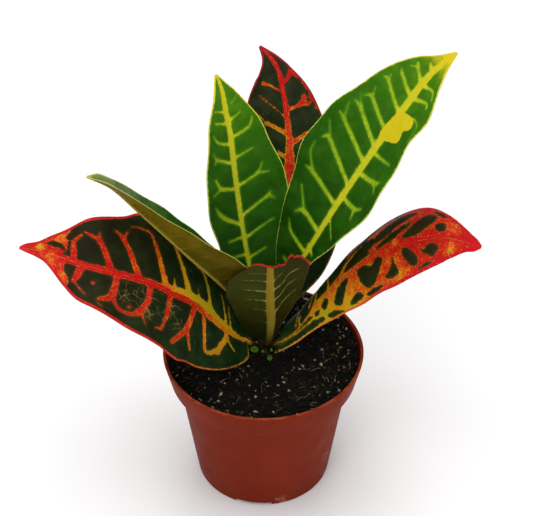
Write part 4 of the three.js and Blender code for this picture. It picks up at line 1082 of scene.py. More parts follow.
def blade_look(name, look):
    """The painted upper side of a leaf."""
    material, w, shader = finish_of("blade_" + name)
    share, veins, warmth, spine = (w.attribute(label) for label in ("share", "veins", "warmth", "spine"))
    broad = w.uneven(3.8 * MM, 5, 0.6)
    fine = w.uneven(1.1 * MM, 3, 0.7)
    mottle = w.math("MULTIPLY_ADD", fine, look["grainy"], w.times(broad, look["patchy"]))
    mottle = w.times(mottle, w.fade(warmth, 0.1, 0.5, 0.45, 1.0))

    cloudy = w.fade(w.noise(8 * MM, 3, 0.55), 0.35, 0.7)
    blade = w.mix(cloudy, w.ramp(share, look["blade"]), w.ramp(share, look["light"]))
    near_vein = w.times(w.fade(veins, look["halo_reach"], 0.0), look["halo_share"])
    colour = w.mix(near_vein, blade, look["halo"])

    # Veins: cooler at the edge than inside, flecked, and fading towards the margin
    paint = w.ramp(w.plus(mottle, warmth), look["veins"])
    cooler = w.ramp(w.plus(mottle, w.math("SUBTRACT", warmth, look["drop"])), look["veins"])
    vein_mask = w.group(RAGGED, veins, look["wander"], look["soft"])
    vein_mask = w.times(vein_mask, w.attribute("strength"))
    core_mask = w.group(RAGGED, w.plus(veins, look["edge"]), 1.3, 0.25)
    flecks = w.group(SPECKS, 0.9, look["fleck_share"], 0.45)
    vein_colour = w.mix(core_mask, cooler, paint)
    off_spine = w.times(w.fade(spine, 0.8, 2.2), 0.7)
    vein_colour = w.mix(w.times(flecks, off_spine), vein_colour, look["fleck"])
    outer = w.fade(w.math("ABSOLUTE", w.attribute("across")), 0.3, 0.95, 0.0, look["fading"])
    vein_colour = w.mix(w.times(outer, w.fade(share, 0.84, 0.72)), vein_colour, look["halo"])
    colour = w.mix(vein_mask, colour, vein_colour)

    # The midrib's pale line, the plain patch, the margin, the tip, scratches and dust
    spine_line = w.times(w.fade(spine, 0.3, 0.1), w.fade(broad, -0.08, 0.1, 0.0, 0.25))
    colour = w.mix(spine_line, colour, SPINE_LINE)
    patch = w.group(RAGGED, w.attribute("patch"), 0.5, 0.15)
    colour = w.mix(patch, colour, w.mix(w.fade(broad, -0.3, 0.3), *PATCH_COLOURS))
    margin_mask = w.group(RAGGED, w.attribute("margin"), 0.6, 0.25)
    rim = w.ramp(w.math("MULTIPLY_ADD", mottle, 0.1, share), look["rim"])
    colour = w.mix(margin_mask, colour, w.mix(w.times(flecks, 0.5), rim, look["fleck"]))
    tip = w.fade(w.math("MULTIPLY_ADD", broad, look["tip_wander"], w.attribute("tip")), 0.15, 0.85)
    colour = w.mix(w.times(tip, 0.85), colour, look["tip"])
    colour = w.mix(w.times(scratched(w), 0.5), colour, SCRATCH)
    colour = w.mix(w.times(w.group(SPECKS, 2.6, 0.07, 0.12), 0.5), colour, DUST_SPECK)
    leaf_gloss(w, shader, with_petiole(w, colour))
    return material


# The lower sides: their dark and light parts, veins and rib, and where a look gives it, how much the light
# part keeps to the right half, leaving a painted shade on the left half
UNDER_LOOKS = {
    "dark": dict(
        blade=srgb(70, 34, 22), light=srgb(88, 56, 26), vein=srgb(150, 70, 36), rib=srgb(160, 84, 40),
    ),
    "green": dict(
        blade=srgb(56, 86, 22), light=srgb(76, 104, 32), vein=srgb(140, 150, 54), rib=srgb(160, 160, 50),
    ),
    "red": dict(
        blade=srgb(104, 34, 24), light=srgb(124, 58, 30), vein=srgb(172, 78, 42), rib=srgb(180, 84, 40),
    ),
    "olive": dict(
        blade=srgb(90, 80, 12), light=srgb(114, 98, 18), vein=srgb(146, 132, 46), rib=srgb(160, 140, 50),
    ),
    "shaded": dict(
        blade=srgb(42, 40, 2), light=srgb(54, 60, 17), vein=srgb(150, 152, 76), rib=srgb(136, 112, 30),
        shade_by_side=0.8,
    ),
}
UNDER_LOOKS["back"] = UNDER_LOOKS["dark"]
FOOT_SHADE = srgb(20, 24, 5)


def underside_look(name, look):
    """The dull lower side of a leaf, shaded at its foot, with paler raised veins."""
    material, w, shader = finish_of("underside_" + name)
    share = w.attribute("share")
    cloudy = w.fade(w.noise(14 * MM, 3, 0.6), 0.35, 0.65)
    shade_by_side = look.get("shade_by_side", 0)
    # A leaf in shade: painted shade on its left half and its lighter colour on its right half
    if shade_by_side:
        lit_right_half = w.fade(w.attribute("across"), -0.45, 0.35)
        cloudy = w.plus(w.times(cloudy, 1 - shade_by_side), w.times(lit_right_half, shade_by_side))
    colour = w.mix(cloudy, look["blade"], look["light"])
    colour = w.mix(w.fade(share, 0.6, 0.0, 0.0, 0.85), colour, FOOT_SHADE)
    thin = w.group(RAGGED, w.plus(w.attribute("veins"), 0.1), 0.25, 0.3)
    thin = w.times(w.times(thin, w.attribute("strength")), w.fade(share, 0.02, 0.4, 0.05, 1.0))
    colour = w.mix(w.times(thin, 0.75), colour, look["vein"])
    # The rib fades out towards the foot, under the painted foot shade
    rib = w.group(RAGGED, w.attribute("rib"), 0.3, 0.8)
    colour = w.mix(w.times(rib, w.fade(share, 0.0, 0.4, 0.15, 1.0)), colour, look["rib"])
    margin = w.group(RAGGED, w.attribute("margin"), 0.5, 0.3)
    rim = w.ramp(w.math("MULTIPLY_ADD", w.uneven(2 * MM, 4, 0.7), 0.15, share), LOOKS[name]["rim"])
    leaf_gloss(w, shader, with_petiole(w, w.mix(margin, colour, rim)))
    return material


BLADE_LOOKS = {name: blade_look(name, look) for name, look in LOOKS.items()}
UNDERSIDES = {name: underside_look(name, look) for name, look in UNDER_LOOKS.items()}


# Pot: a turned shell with a wider rim band, a raised floor with drain holes, and a notched foot ring


POT_HEIGHT = 92
RIM_RADIUS = 60
RIM_BOTTOM_RADIUS = 56
RIM_BOTTOM_Z = 74.5
LIP_THICKNESS = 1.8
BODY_TOP_RADIUS = 51.5
BODY_BASE_RADIUS = 40.9
WALL = 1.3
FLOOR_UNDERSIDE_Z = 2.4
FLOOR_TOP_Z = 3.8
FOOT_RING_INNER_RADIUS = 37.5
CENTRE_PAD_RADIUS = 9
FOOT_DRAFT = 0.5
PALE_DIRT = srgb(156, 104, 82)
DARK_DIRT = srgb(44, 24, 16)
# Stains: place, reach and colour
POT_STAINS = [
    ((38, -23.5, 26), 6, PALE_DIRT), ((11, -40.5, 4), 6, PALE_DIRT), ((43, 0, 15), 4, DARK_DIRT),
    ((41, -4, 3), 4, DARK_DIRT), ((27, -52, 85.5), 2, DARK_DIRT),
]
NOTCH_COUNT = 4
NOTCH_TURN = -98.7
NOTCH_ARC = 32
DRAIN_COUNT = 8
DRAIN_RADIUS = 4.2
DRAIN_CIRCLE_RADIUS = 26
DRAIN_SIDES = 32
NOTCH_STEPS = 12
NOTCH_INNER_SPARE = 1.5
NOTCH_OUTER_SPARE = 3
CUT_SPARE = 5
POT_SIDES = 224
SHARP_ANGLE = 40


def body_radius(z):
    return BODY_BASE_RADIUS + (BODY_TOP_RADIUS - BODY_BASE_RADIUS) * z / RIM_BOTTOM_Z


def rim_radius(z):
    share = (z - RIM_BOTTOM_Z) / (POT_HEIGHT - RIM_BOTTOM_Z)
    return RIM_BOTTOM_RADIUS + (RIM_RADIUS - RIM_BOTTOM_RADIUS) * share


def pot_profile():
    """The pot's section from the axis underneath, round the outside and the lip, to the axis inside."""
    shoulder_z = RIM_BOTTOM_Z + WALL
    # Corners, each with the reach of its rounding
    corners = [
        ((0, 0), 0),
        ((CENTRE_PAD_RADIUS, 0), 0.4),
        ((CENTRE_PAD_RADIUS + FOOT_DRAFT, FLOOR_UNDERSIDE_Z), 0.4),
        ((FOOT_RING_INNER_RADIUS - FOOT_DRAFT, FLOOR_UNDERSIDE_Z), 0.5),
        ((FOOT_RING_INNER_RADIUS, 0), 0.3),
        ((body_radius(0), 0), 1.2),
        ((BODY_TOP_RADIUS, RIM_BOTTOM_Z), 0.8),
        ((RIM_BOTTOM_RADIUS, RIM_BOTTOM_Z), 0.9),
        ((RIM_RADIUS, POT_HEIGHT), 0.8),
        ((RIM_RADIUS - LIP_THICKNESS, POT_HEIGHT), 0.8),
        ((rim_radius(shoulder_z) - LIP_THICKNESS, shoulder_z), 0.6),
        ((body_radius(shoulder_z) - WALL, shoulder_z), 0.6),
        ((body_radius(FLOOR_TOP_Z) - WALL, FLOOR_TOP_Z), 1.0),
        ((0, FLOOR_TOP_Z), 0),
    ]
    points = []
    for n, (corner, reach) in enumerate(corners):
        if reach:
            points += rounded(corner, corners[n - 1][0], corners[n + 1][0], reach)
        else:
            points.append(corner)
    return [(r * MM, z * MM) for r, z in points]


def pot_cutters():
    """One mesh of the shapes that cut the drain holes and the gaps in the foot ring."""
    vertices, faces = [], []

    def add(shape):
        start = len(vertices)
        vertices.extend(shape[0])
        faces.extend(tuple(start + v for v in face) for face in shape[1])

    low, high = -CUT_SPARE * MM, (FLOOR_TOP_Z + CUT_SPARE) * MM
    section = [(0, low), (DRAIN_RADIUS * MM, low), (DRAIN_RADIUS * MM, high), (0, high)]
    for n in range(DRAIN_COUNT):
        turn = 2 * math.pi * (n + 0.5) / DRAIN_COUNT
        x = DRAIN_CIRCLE_RADIUS * MM * math.cos(turn)
        y = DRAIN_CIRCLE_RADIUS * MM * math.sin(turn)
        add(lathe(section, DRAIN_SIDES, x, y))
    for n in range(NOTCH_COUNT):
        add(notch(math.radians(NOTCH_TURN + n * 360 / NOTCH_COUNT)))
    return vertices, faces


def notch(middle):
    """A piece of a flat ring, as high as the raised floor."""
    low, high = -CUT_SPARE * MM, FLOOR_UNDERSIDE_Z * MM
    inner = (FOOT_RING_INNER_RADIUS - NOTCH_INNER_SPARE) * MM
    outer = (BODY_BASE_RADIUS + NOTCH_OUTER_SPARE) * MM
    vertices = []
    for n in range(NOTCH_STEPS + 1):
        turn = middle + math.radians(NOTCH_ARC) * (n / NOTCH_STEPS - 0.5)
        for radius, z in ((inner, low), (outer, low), (outer, high), (inner, high)):
            vertices.append((radius * math.cos(turn), radius * math.sin(turn), z))
    faces = [face[::-1] for face in ring_faces(NOTCH_STEPS + 1, 4)]
    ends = [(0, 1, 2, 3), tuple(NOTCH_STEPS * 4 + k for k in (3, 2, 1, 0))]
    return vertices, faces + ends


def pot_plastic():
    """Reddish brown moulded plastic, dusty and scuffed, with a painted highlight along the lip and painted
    shade inside.
    """
    material, w, shader = finish_of("pot_plastic")
    height = w.add("ShaderNodeSeparateXYZ", {0: w.place()}).outputs["Z"]
    streaks = w.noise(30 * MM, 4, 0.6, w.moved(longer=(1, 1, 4)))
    colour = w.mix(w.fade(streaks, 0.35, 0.7), srgb(112, 33, 12), srgb(120, 37, 15))
    dust = w.times(w.fade(w.noise(14 * MM, 6, 0.7), 0.5, 0.8), 0.1)
    colour = w.mix(dust, colour, srgb(140, 74, 50))
    # A painted highlight along the top of the lip, in patches
    lip = w.fade(height, (POT_HEIGHT - 0.9) * MM, (POT_HEIGHT - 0.3) * MM)
    lip_highlight_patches = w.fade(w.noise(7 * MM, 4, 0.6), 0.35, 0.7, 0.0, 0.6)
    colour = w.mix(w.times(lip, lip_highlight_patches), colour, srgb(164, 78, 40))

    # Painted shade on the inner wall above the step, deeper further below the lip; the wall is told from the
    # outside by its distance from the axis
    slope = (RIM_RADIUS - RIM_BOTTOM_RADIUS) / (POT_HEIGHT - RIM_BOTTOM_Z)
    outside_here = w.math("MULTIPLY_ADD", height, slope, (RIM_RADIUS - slope * POT_HEIGHT) * MM)
    inner_wall = w.fade(w.math("SUBTRACT", outside_here, w.from_axis(w.place())), 0.9 * MM, 1.6 * MM)
    shade = w.fade(height, (POT_HEIGHT - 0.3) * MM, (POT_HEIGHT - 1.8) * MM, 0.0, 0.75)
    above_step = w.fade(height, (RIM_BOTTOM_Z + 1) * MM, (RIM_BOTTOM_Z + 4) * MM)
    colour = w.mix(w.times(w.times(inner_wall, shade), above_step), colour, srgb(50, 14, 10))

    for place, reach, dirt_colour in POT_STAINS:
        away = w.vector("DISTANCE", {0: w.place(), 1: [v * MM for v in place]})
        near = w.fade(away, reach * MM, 0.4 * reach * MM)
        dirt = w.fade(w.noise(1.6 * MM, 3, 0.7), 0.5, 0.6)
        colour = w.mix(w.times(near, dirt), colour, dirt_colour)
    roughness = w.fade(w.noise(12 * MM, 5, 0.6), 0.3, 0.7, 0.5, 0.62)
    finished(w, shader, colour, roughness, 0.04, w.group(GRAIN, 1.2, 0.25, 0.5), 0.04)
    return material


def make_pot():
    """The turned shell with the drain holes and foot notches cut from it."""
    pair = []
    for name, shape in (("pot_raw", lathe(pot_profile(), POT_SIDES)), ("pot_cutters", pot_cutters())):
        mesh = bpy.data.meshes.new(name)
        mesh.from_pydata(shape[0], [], shape[1])
        outward(mesh)
        pair.append(bpy.data.objects.new(name, mesh))
        bpy.context.scene.collection.objects.link(pair[-1])
    cut = pair[0].modifiers.new("cut", "BOOLEAN")
    cut.operation = "DIFFERENCE"
    cut.solver = "EXACT"
    cut.object = pair[1]
    mesh = evaluated_mesh(pair[0])
    for thing in pair:
        bpy.data.objects.remove(thing)
    piece = piece_from("pot_shell", mesh, [pot_plastic()], ["pot"])
    piece.data.set_sharp_from_angle(angle=math.radians(SHARP_ANGLE))


def outward(mesh):
    """Turns a closed mesh's faces outwards."""
    work = bmesh.new()
    work.from_mesh(mesh)
    bmesh.ops.remove_doubles(work, verts=work.verts, dist=1e-7)
    bmesh.ops.recalc_face_normals(work, faces=work.faces)
    work.to_mesh(mesh)
    work.free()


# Soil: a crumbly surface, and grains, chips and fibres scattered on it by Geometry Nodes


SOIL_LEVEL = 84
SOIL_BANK_RISE = 7.5
SOIL_BANK_TURN = 38
SOIL_EDGE_DROP = 1.6
SOIL_HEAP = {"place": (26, 49), "reach": 13, "height": 5}
SOIL_MOUNDS = [
    {"height": 1.1, "turn": (0.11, 0.13), "start": (1.3, 1.2)},
    {"height": 0.7, "turn": (0.23, 0.19), "start": (0.8, 2)},
    {"height": 0.35, "turn": (0.52, 0.47), "start": (2.1, 0.6)},
]
SOIL_RINGS = 120
SOIL_SIDES = 260
SOIL_EDGE = 56
SOIL_EDGE_DIP = 1
# Clods and crumbs: size and depth, all let down a little
CRUMBLE = [(9, 0.9), (4, 0.8), (1.8, 0.5), (0.9, 0.25)]
CRUMBLE_DROP = 0.5
LIP_CLEARANCE = 0.35
GRAIN_CLEARANCE = 0.1
# The soil's underside: radius and height on the pot's step, under it and over the floor
SOIL_UNDERSIDE = [(54.2, RIM_BOTTOM_Z + 2), (49.6, RIM_BOTTOM_Z), (39.6, 4.2)]


def soil_height(x, y):
    """The soil's height at a place, in millimetres."""
    height = SOIL_LEVEL - SOIL_EDGE_DROP * (math.hypot(x, y) / (RIM_RADIUS - LIP_THICKNESS)) ** 4
    turn = math.radians(SOIL_BANK_TURN)
    towards_bank = max(0, (x * math.cos(turn) + y * math.sin(turn)) / SOIL_EDGE)
    height += SOIL_BANK_RISE * towards_bank**1.6
    away = math.dist((x, y), SOIL_HEAP["place"]) / SOIL_HEAP["reach"]
    height += SOIL_HEAP["height"] * math.exp(-(away**2))
    for mound in SOIL_MOUNDS:
        waves = zip((x, y), mound["turn"], mound["start"])
        height += mound["height"] * math.prod(math.sin(v * rate + start) for v, rate, start in waves)
    return height


def crumbled(x, y):
    """The soil's height with clods and crumbs."""
    height = soil_height(x, y)
    for size, depth in CRUMBLE:
        height += depth * noise.noise(Vector((x / size, y / size, size)))
    return height - CRUMBLE_DROP


def soil_reach(z):
    """How far out the soil may go at a height, just inside the pot's wall."""
    return max(SOIL_EDGE, rim_radius(z) - LIP_THICKNESS - LIP_CLEARANCE)


def soil_skin():
    """The top of the soil: a fine disc of rings round a middle point."""
    vertices = [(0, 0, crumbled(0, 0) * MM)]
    for n in range(1, SOIL_RINGS + 1):
        for k in range(SOIL_SIDES):
            turn = 2 * math.pi * k / SOIL_SIDES
            across, along = math.cos(turn), math.sin(turn)
            edge_z = soil_height(SOIL_EDGE * across, SOIL_EDGE * along) - SOIL_EDGE_DIP
            radius = soil_reach(edge_z) * n / SOIL_RINGS
            x, y = radius * across, radius * along
            vertices.append((x * MM, y * MM, crumbled(x, y) * MM))
    faces = [(0, 1 + k, 1 + (k + 1) % SOIL_SIDES) for k in range(SOIL_SIDES)]
    faces += ring_faces(SOIL_RINGS, SOIL_SIDES, 1)
    return vertices, faces


def potting_soil():
    """Near-black damp mix with a green tinge and pale dust."""
    material, w, shader = finish_of("potting_soil")
    colour = w.mix(w.fade(w.noise(3 * MM, 5, 0.7), 0.35, 0.7), srgb(6, 6, 3), srgb(18, 15, 9))
    colour = w.mix(w.times(w.fade(w.noise(16 * MM, 3), 0.5, 0.7), 0.6), colour, srgb(16, 24, 8))
    colour = w.mix(w.times(w.group(SPECKS, 1.5, 0.08, 0.25), 0.6), colour, srgb(120, 112, 92))
    finished(w, shader, colour, 0.85, 0.1, w.group(GRAIN, 0.9, 0.3, 0.6), 0.5)
    return material


def make_soil():
    """The closed body of the soil: its crumbly top, its side along the pot's wall and its flat bottom."""
    vertices, faces = soil_skin()
    edge = len(vertices) - SOIL_SIDES
    for radius, z in SOIL_UNDERSIDE:
        vertices += ring(radius * MM, z * MM, SOIL_SIDES)
    faces += ring_faces(1 + len(SOIL_UNDERSIDE), SOIL_SIDES, edge)
    bottom = len(vertices) - SOIL_SIDES
    faces.append(tuple(bottom + k for k in reversed(range(SOIL_SIDES))))
    piece = new_piece("soil_bed", vertices, faces, [potting_soil()], ["soil"])
    outward(piece.data)


LUMPS_PER_METRE = 1100.0
GRAIN_INPUTS = {
    "surface": "NodeSocketGeometry", "density": "NodeSocketFloat", "smallest": "NodeSocketFloat",
    "largest": "NodeSocketFloat", "middle": "NodeSocketFloat", "seed": "NodeSocketInt",
    "roughen": "NodeSocketFloat",
}


def grains_tree(name, shape, material):
    """A tree that scatters small copies of a shape over a surface, uneven in size, turn and form."""
    tree = bpy.data.node_groups.new(name, "GeometryNodeTree")
    for label, kind in GRAIN_INPUTS.items():
        tree.interface.new_socket(label, in_out="INPUT", socket_type=kind)
    tree.interface.new_socket("grains", in_out="OUTPUT", socket_type="NodeSocketGeometry")
    w = Wiring(tree)
    given = w.add("NodeGroupInput").outputs
    middle, seed = given["middle"], given["seed"]

    # Denser in patches and towards the pot's wall
    place = w.add("GeometryNodeInputPosition").outputs[0]
    patches = w.add("ShaderNodeTexNoise", {"Vector": place, "Scale": 1 / (12 * MM), "Detail": 2.0})
    spreads = [(w.from_axis(place), 0.2 * SOIL_EDGE * MM, SOIL_EDGE * MM), (patches.outputs[0], 0.4, 0.6)]
    shares = []
    for value, start, end in spreads:
        share = w.add("ShaderNodeMapRange", {0: value, 1: start, 2: end, 3: middle, 4: 1.0})
        shares.append(share.outputs[0])
    density = w.times(w.times(*shares), given["density"])

    points = w.add("GeometryNodeDistributePointsOnFaces",
                   {"Mesh": given["surface"], "Density": density, "Seed": seed}).outputs["Points"]
    sizes = w.add("FunctionNodeRandomValue",
                  {2: given["smallest"], 3: given["largest"], "Seed": seed}, data_type="FLOAT")
    turns = w.add("FunctionNodeRandomValue",
                  {0: (-0.5, -0.5, 0), 1: (0.5, 0.5, 2 * math.pi), "Seed": seed}, data_type="FLOAT_VECTOR")
    placed = w.add("GeometryNodeInstanceOnPoints", {
        "Points": points, "Instance": shape(w), "Rotation": turns.outputs[0], "Scale": sizes.outputs[1],
    })
    real = w.add("GeometryNodeRealizeInstances", {0: placed.outputs[0]})

    # Each copy pushed out of shape
    lumps = w.add("ShaderNodeTexNoise", {"Scale": LUMPS_PER_METRE, "Detail": 2.0}).outputs["Color"]
    centred = w.vector("SUBTRACT", {0: lumps, 1: (0.5, 0.5, 0.5)})
    reach = w.times(given["roughen"], given["largest"])
    offset = w.vector("SCALE", {0: centred, "Scale": reach})
    moved = w.add("GeometryNodeSetPosition", {"Geometry": real.outputs[0], "Offset": offset})
    painted = w.add("GeometryNodeSetMaterial", {"Geometry": moved.outputs[0], "Material": material})
    w.feed(w.add("NodeGroupOutput").inputs[0], painted.outputs[0])
    return tree


def crumb_shape(w):
    return w.add("GeometryNodeMeshIcoSphere", {"Radius": 0.5, "Subdivisions": 2}).outputs[0]


def chip_shape(w):
    inputs = {"Size": (1.0, 0.45, 0.16), "Vertices X": 4, "Vertices Y": 3, "Vertices Z": 2}
    return w.add("GeometryNodeMeshCube", inputs).outputs[0]


def fibre_shape(w):
    ends = {"Start": (-0.5, 0, -0.02), "End": (0.5, 0.02, 0.0)}
    inputs = {"Resolution": 7, "Middle": (0.1, 0.22, 0.16), **ends}
    bow = w.add("GeometryNodeCurveQuadraticBezier", inputs).outputs[0]
    section = w.add("GeometryNodeCurvePrimitiveCircle", {"Resolution": 5, "Radius": 0.02}).outputs[0]
    inputs = {"Curve": bow, "Profile Curve": section, "Fill Caps": True}
    return w.add("GeometryNodeCurveToMesh", inputs).outputs[0]


def grain_finish(name, first, second):
    """A dull finish that is patchy between two colours."""
    material, w, shader = finish_of(name)
    colour = w.mix(w.fade(w.noise(2.5 * MM, 4, 0.7), 0.35, 0.65), first, second)
    finished(w, shader, colour, 0.9, 0.12, w.group(GRAIN, 0.6, 0.2, 0.6), 0.15)
    return material


# Kinds of grains: how many to a square metre, their part of it in the middle, sizes, and two colours
GRAINS = {
    "soil_crumbs": dict(
        shape=crumb_shape, colours=(srgb(5, 5, 3), srgb(14, 12, 7)),
        density=230000, middle=1, smallest=0.7 * MM, largest=2.6 * MM, seed=11, roughen=0.55,
    ),
    "perlite_grains": dict(
        shape=crumb_shape, colours=(srgb(60, 62, 48), srgb(140, 138, 118)),
        density=26000, middle=0.6, smallest=0.3 * MM, largest=1.9 * MM, seed=12, roughen=0.8,
    ),
    "bark_chips": dict(
        shape=chip_shape, colours=(srgb(14, 10, 7), srgb(44, 30, 18)),
        density=24000, middle=0.6, smallest=2.0 * MM, largest=5.5 * MM, seed=13, roughen=0.12,
    ),
    "peat_fibres": dict(
        shape=fibre_shape, colours=(srgb(46, 36, 22), srgb(134, 112, 80)),
        density=24000, middle=0.15, smallest=3 * MM, largest=11 * MM, seed=14, roughen=0.05,
    ),
    "husk_bits": dict(
        shape=chip_shape, colours=(srgb(84, 66, 46), srgb(168, 142, 106)),
        density=26000, middle=0.2, smallest=0.7 * MM, largest=3.6 * MM, seed=15, roughen=0.3,
    ),
}


def make_grains():
    """The scattered pieces of the soil, each kind as one mesh."""
    vertices, faces = soil_skin()
    surface = bpy.data.meshes.new("soil_skin")
    surface.from_pydata(vertices, [], faces)
    for name, kind in GRAINS.items():
        material = grain_finish(name, *kind["colours"])
        holder = bpy.data.objects.new(name + "_raw", surface)
        bpy.context.scene.collection.objects.link(holder)
        scatter = holder.modifiers.new("scatter", "NODES")
        scatter.node_group = grains_tree(name, kind["shape"], material)
        for item in scatter.node_group.interface.items_tree:
            if item.name in kind:
                scatter[item.identifier] = kind[item.name]
        mesh = evaluated_mesh(holder)
        bpy.data.objects.remove(holder)
        mesh.materials.clear()
        keep_inside(mesh)
        piece_from(name, mesh, [material])
    bpy.data.meshes.remove(surface)


def keep_inside(mesh):
    """Draws in what would cross the pot's wall."""
    for vertex in mesh.vertices:
        limit = (soil_reach(vertex.co.z / MM) - GRAIN_CLEARANCE) * MM
        radius = math.hypot(vertex.co.x, vertex.co.y)
        if radius > limit:
            vertex.co.x *= limit / radius
            vertex.co.y *= limit / radius


# Stem and seedlings


STEM_X = 0
STEM_Y = 4
STEM_BOTTOM_Z = 60
STEM_SHOULDER_Z = 112
STEM_TIP_Z = 121
STEM_SOIL_RADIUS = 3.55
STEM_TOP_RADIUS = 2.9
STEM_TIP_RADIUS = 0.25
SCAR_HEIGHTS = [88, 92.5, 97, 101.5, 106]
SCAR_SWELL = 0.35
SCAR_REACH = 0.5
BUD_POWER = 1.5
FURROW_SHARE = 0.05
FURROW_TURNS = (0.9, 0.9, 0.35)
STEM_SIDES = 72
STEM_RINGS = 150


def stem_bark():
    """Dark green-brown bark, its darkness partly painted shade, furrowed lengthwise, with pale pores."""
    material, w, shader = finish_of("stem_bark")
    lengthwise = w.noise(3 * MM, 5, 0.65, w.moved(longer=(1, 1, 3.3)))
    # Dark bark colours, partly painted shade
    colour = w.mix(w.fade(lengthwise, 0.35, 0.65), srgb(26, 26, 12), srgb(50, 46, 22))
    colour = w.mix(w.times(w.group(SPECKS, 1.4, 0.2, 0.3), 0.5), colour, srgb(90, 82, 50))
    finished(w, shader, colour, 0.6, 0.1, lengthwise, 0.3)
    return material


def make_stem():
    """The trunk: leaf scars as low rings, fine furrows, and a pointed bud."""
    taper = (STEM_TOP_RADIUS - STEM_SOIL_RADIUS) / (STEM_SHOULDER_Z - SOIL_LEVEL)
    profile = [(0, STEM_BOTTOM_Z)]
    for n in range(STEM_RINGS + 1):
        z = STEM_BOTTOM_Z + (STEM_TIP_Z - STEM_BOTTOM_Z) * n / STEM_RINGS
        radius = min(STEM_SOIL_RADIUS + taper * (z - SOIL_LEVEL), STEM_SOIL_RADIUS)
        for scar in SCAR_HEIGHTS:
            radius += SCAR_SWELL * math.exp(-(((z - scar) / SCAR_REACH) ** 2))
        bud = max(0, (z - STEM_SHOULDER_Z) / (STEM_TIP_Z - STEM_SHOULDER_Z))
        profile.append((max(STEM_TIP_RADIUS, radius * (1 - bud**BUD_POWER)), z))
    profile.append((0, STEM_TIP_Z))
    vertices, faces = lathe(profile, STEM_SIDES)
    rough = []
    for x, y, z in vertices:
        furrow = noise.noise(Vector([v * turn for v, turn in zip((x, y, z), FURROW_TURNS)]))
        grow = 1 + FURROW_SHARE * furrow
        rough.append(((x * grow + STEM_X) * MM, (y * grow + STEM_Y) * MM, z * MM))
    piece = new_piece("stem_trunk", rough, faces, [stem_bark()], ["stem"])
    outward(piece.data)


SEEDLINGS = {
    "seedling_left": {
        "root": (-4.2, -4.4),
        "leaflets": [{"centre": (-5.2, -3, 93.8), "radius": 2.6, "facing": (-0.1, -0.15, 0.95)}],
    },
    "seedling_front": {
        "root": (2.4, -7.6),
        "leaflets": [
            {"centre": (4.6, -7.4, 97.6), "radius": 1.2, "facing": (0.7, -0.4, 0.5)},
            {"centre": (3.6, -9.4, 93.4), "radius": 2.0, "facing": (0.6, -0.5, 0.5)},
            {"centre": (-0.2, -7.2, 96.6), "radius": 0.9, "facing": (-0.3, -0.5, 0.8)},
        ],
    },
}
STALK_RADIUS = 0.3
STALK_SIDES = 10
SEEDLING_CROWN_Z = 87
SEEDLING_DEPTH = 5
TWIG_SHARE = 0.8
TWIG_STEPS = 9
# A leaflet's width as a share of its length, how far its edge and its sides rise, and half its thickness
LEAFLET_WIDTH = 0.88
LEAFLET_CUP = 0.22
LEAFLET_FOLD = 0.12
LEAFLET_DROP = 0.05
LEAFLET_HALF_THICKNESS = 0.28
LEAFLET_RINGS = 10
LEAFLET_SIDES = 28


def tube(path, radius):
    """Vertices and faces of a closed round tube along a path."""
    path = np.array(path, float)
    vertices = []
    for n, point in enumerate(path):
        ahead = unit(path[min(n + 1, len(path) - 1)] - path[max(n - 1, 0)])
        side = unit(np.cross(ahead, (0.31, 0.87, 0.38)))
        other = np.cross(ahead, side)
        for k in range(STALK_SIDES):
            turn = 2 * math.pi * k / STALK_SIDES
            vertices.append(point + radius * (side * math.cos(turn) + other * math.sin(turn)))
    faces = ring_faces(len(path), STALK_SIDES)
    faces.append(tuple(reversed(range(STALK_SIDES))))
    faces.append(tuple(len(vertices) - STALK_SIDES + k for k in range(STALK_SIDES)))
    return vertices, faces


def leaflet(centre, radius, facing):
    """A small round cupped leaf with a crease, as a thin closed lens."""
    facing = unit(np.array(facing, float))
    side = unit(np.cross(facing, (0.2, 0.3, 1)))
    other = np.cross(facing, side)
    vertices, faces = [], []
    for sign in (1, -1):
        start = len(vertices)
        for n in range(LEAFLET_RINGS + 1):
            reach = n / LEAFLET_RINGS
            for k in range(LEAFLET_SIDES):
                turn = 2 * math.pi * k / LEAFLET_SIDES
                x, y = reach * math.cos(turn), reach * math.sin(turn) * LEAFLET_WIDTH
                lift = LEAFLET_CUP * reach**2 + LEAFLET_FOLD * abs(y) - LEAFLET_DROP
                height = radius * lift + sign * LEAFLET_HALF_THICKNESS * (1 - reach**3)
                vertices.append(np.array(centre) + radius * (x * side + y * other) + height * facing)
        faces += ring_faces(LEAFLET_RINGS + 1, LEAFLET_SIDES, start)
    return vertices, faces


def seedling_green():
    """Dull green leaflets on dark red stalks, their darkness partly painted shade."""
    material, w, shader = finish_of("seedling_green")
    colour = w.mix(w.fade(w.noise(1.5 * MM), 0.35, 0.65), srgb(40, 74, 14), srgb(78, 112, 30))
    # The stalks' dark red, darkened further as painted shade
    colour = w.mix(w.fade(w.attribute("stalk"), 0.2, 0.8), colour, srgb(34, 12, 7))
    finished(w, shader, colour, 0.5, 0.06, w.group(GRAIN, 0.8, 0.2, 0.4), 0.06)
    return material


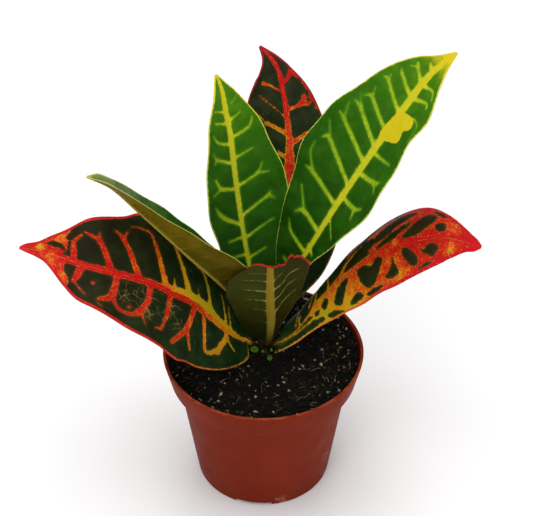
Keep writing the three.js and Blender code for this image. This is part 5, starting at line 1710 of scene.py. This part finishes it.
def make_seedlings():
    """Weed seedlings: a rooted stalk, and a bowed twig to each leaflet. stalk is 1 on what isn't leaflet."""
    green = seedling_green()
    for name, seedling in SEEDLINGS.items():
        root = np.array((*seedling["root"], SEEDLING_CROWN_Z - SEEDLING_DEPTH), float)
        crown = root + (0, 0, SEEDLING_DEPTH)
        shapes = [(tube([root, crown], STALK_RADIUS), 1.0)]
        for leaf in seedling["leaflets"]:
            centre = np.array(leaf["centre"], float)
            bow = (crown + centre) / 2 + (0, 0, 1)
            twig = through([(0, tuple(crown - (0, 0, 0.5))), (0.5, tuple(bow)), (1, tuple(centre))])
            twig_path = twig(np.linspace(0, 1, TWIG_STEPS))
            shapes += [(tube(twig_path, STALK_RADIUS * TWIG_SHARE), 1.0), (leaflet(**leaf), 0.0)]
        vertices, faces, stalk = [], [], []
        for (corners, shape_faces), is_stalk in shapes:
            start = len(vertices)
            vertices += [np.array(v) * MM for v in corners]
            faces += [tuple(start + v for v in face) for face in shape_faces]
            stalk += [is_stalk] * len(corners)
        piece = new_piece(name + "_plant", vertices, faces, [green], [name])
        piece.data.attributes.new("stalk", "FLOAT", "POINT").data.foreach_set("value", stalk)
        outward(piece.data)


# Stage: camera, floor and light


def make_stage():
    """The photo's camera, a pale floor, soft panels and an even sky."""
    scene = bpy.context.scene
    scene.view_settings.view_transform = "Standard"
    lens = bpy.data.cameras.new("camera")
    lens.sensor_width = SENSOR_WIDTH
    lens.lens = SENSOR_WIDTH * FOCAL_PX / PHOTO_WIDTH_PX
    camera = bpy.data.objects.new("camera", lens)
    camera.location = CAMERA_PLACE
    camera.rotation_euler = (math.radians(CAMERA_TILT), 0, 0)
    scene.collection.objects.link(camera)
    scene.camera = camera

    corners = [(-1, -1), (1, -1), (1, 1), (-1, 1)]
    mesh = bpy.data.meshes.new("floor")
    mesh.from_pydata([(x * FLOOR_HALF, y * FLOOR_HALF, 0) for x, y in corners], [], [(0, 1, 2, 3)])
    material, _, shader = finish_of("pale_floor")
    shader.inputs["Base Color"].default_value = srgb(244, 244, 244)
    shader.inputs["Roughness"].default_value = 0.8
    mesh.materials.append(material)
    floor = bpy.data.objects.new("floor", mesh)
    scene.collection.objects.link(floor)

    for name, panel in PANELS.items():
        light = bpy.data.lights.new(name, "AREA")
        light.energy = panel["power"]
        light.size = panel["size"]
        lamp = bpy.data.objects.new(name, light)
        lamp.location = panel["place"]
        lamp.rotation_euler = (Vector(AIM) - Vector(panel["place"])).to_track_quat("-Z", "Y").to_euler()
        scene.collection.objects.link(lamp)

    world = bpy.data.worlds.new("sky")
    world.use_nodes = True
    sky = world.node_tree.nodes["Background"]
    sky.inputs["Color"].default_value = (1, 1, 1, 1)
    sky.inputs["Strength"].default_value = SKY_STRENGTH
    scene.world = world


make_stage()
make_pot()
make_soil()
make_grains()
make_stem()
make_seedlings()
for leaf_name, leaf_facts in LEAVES.items():
    leaf_piece(leaf_name, leaf_facts)
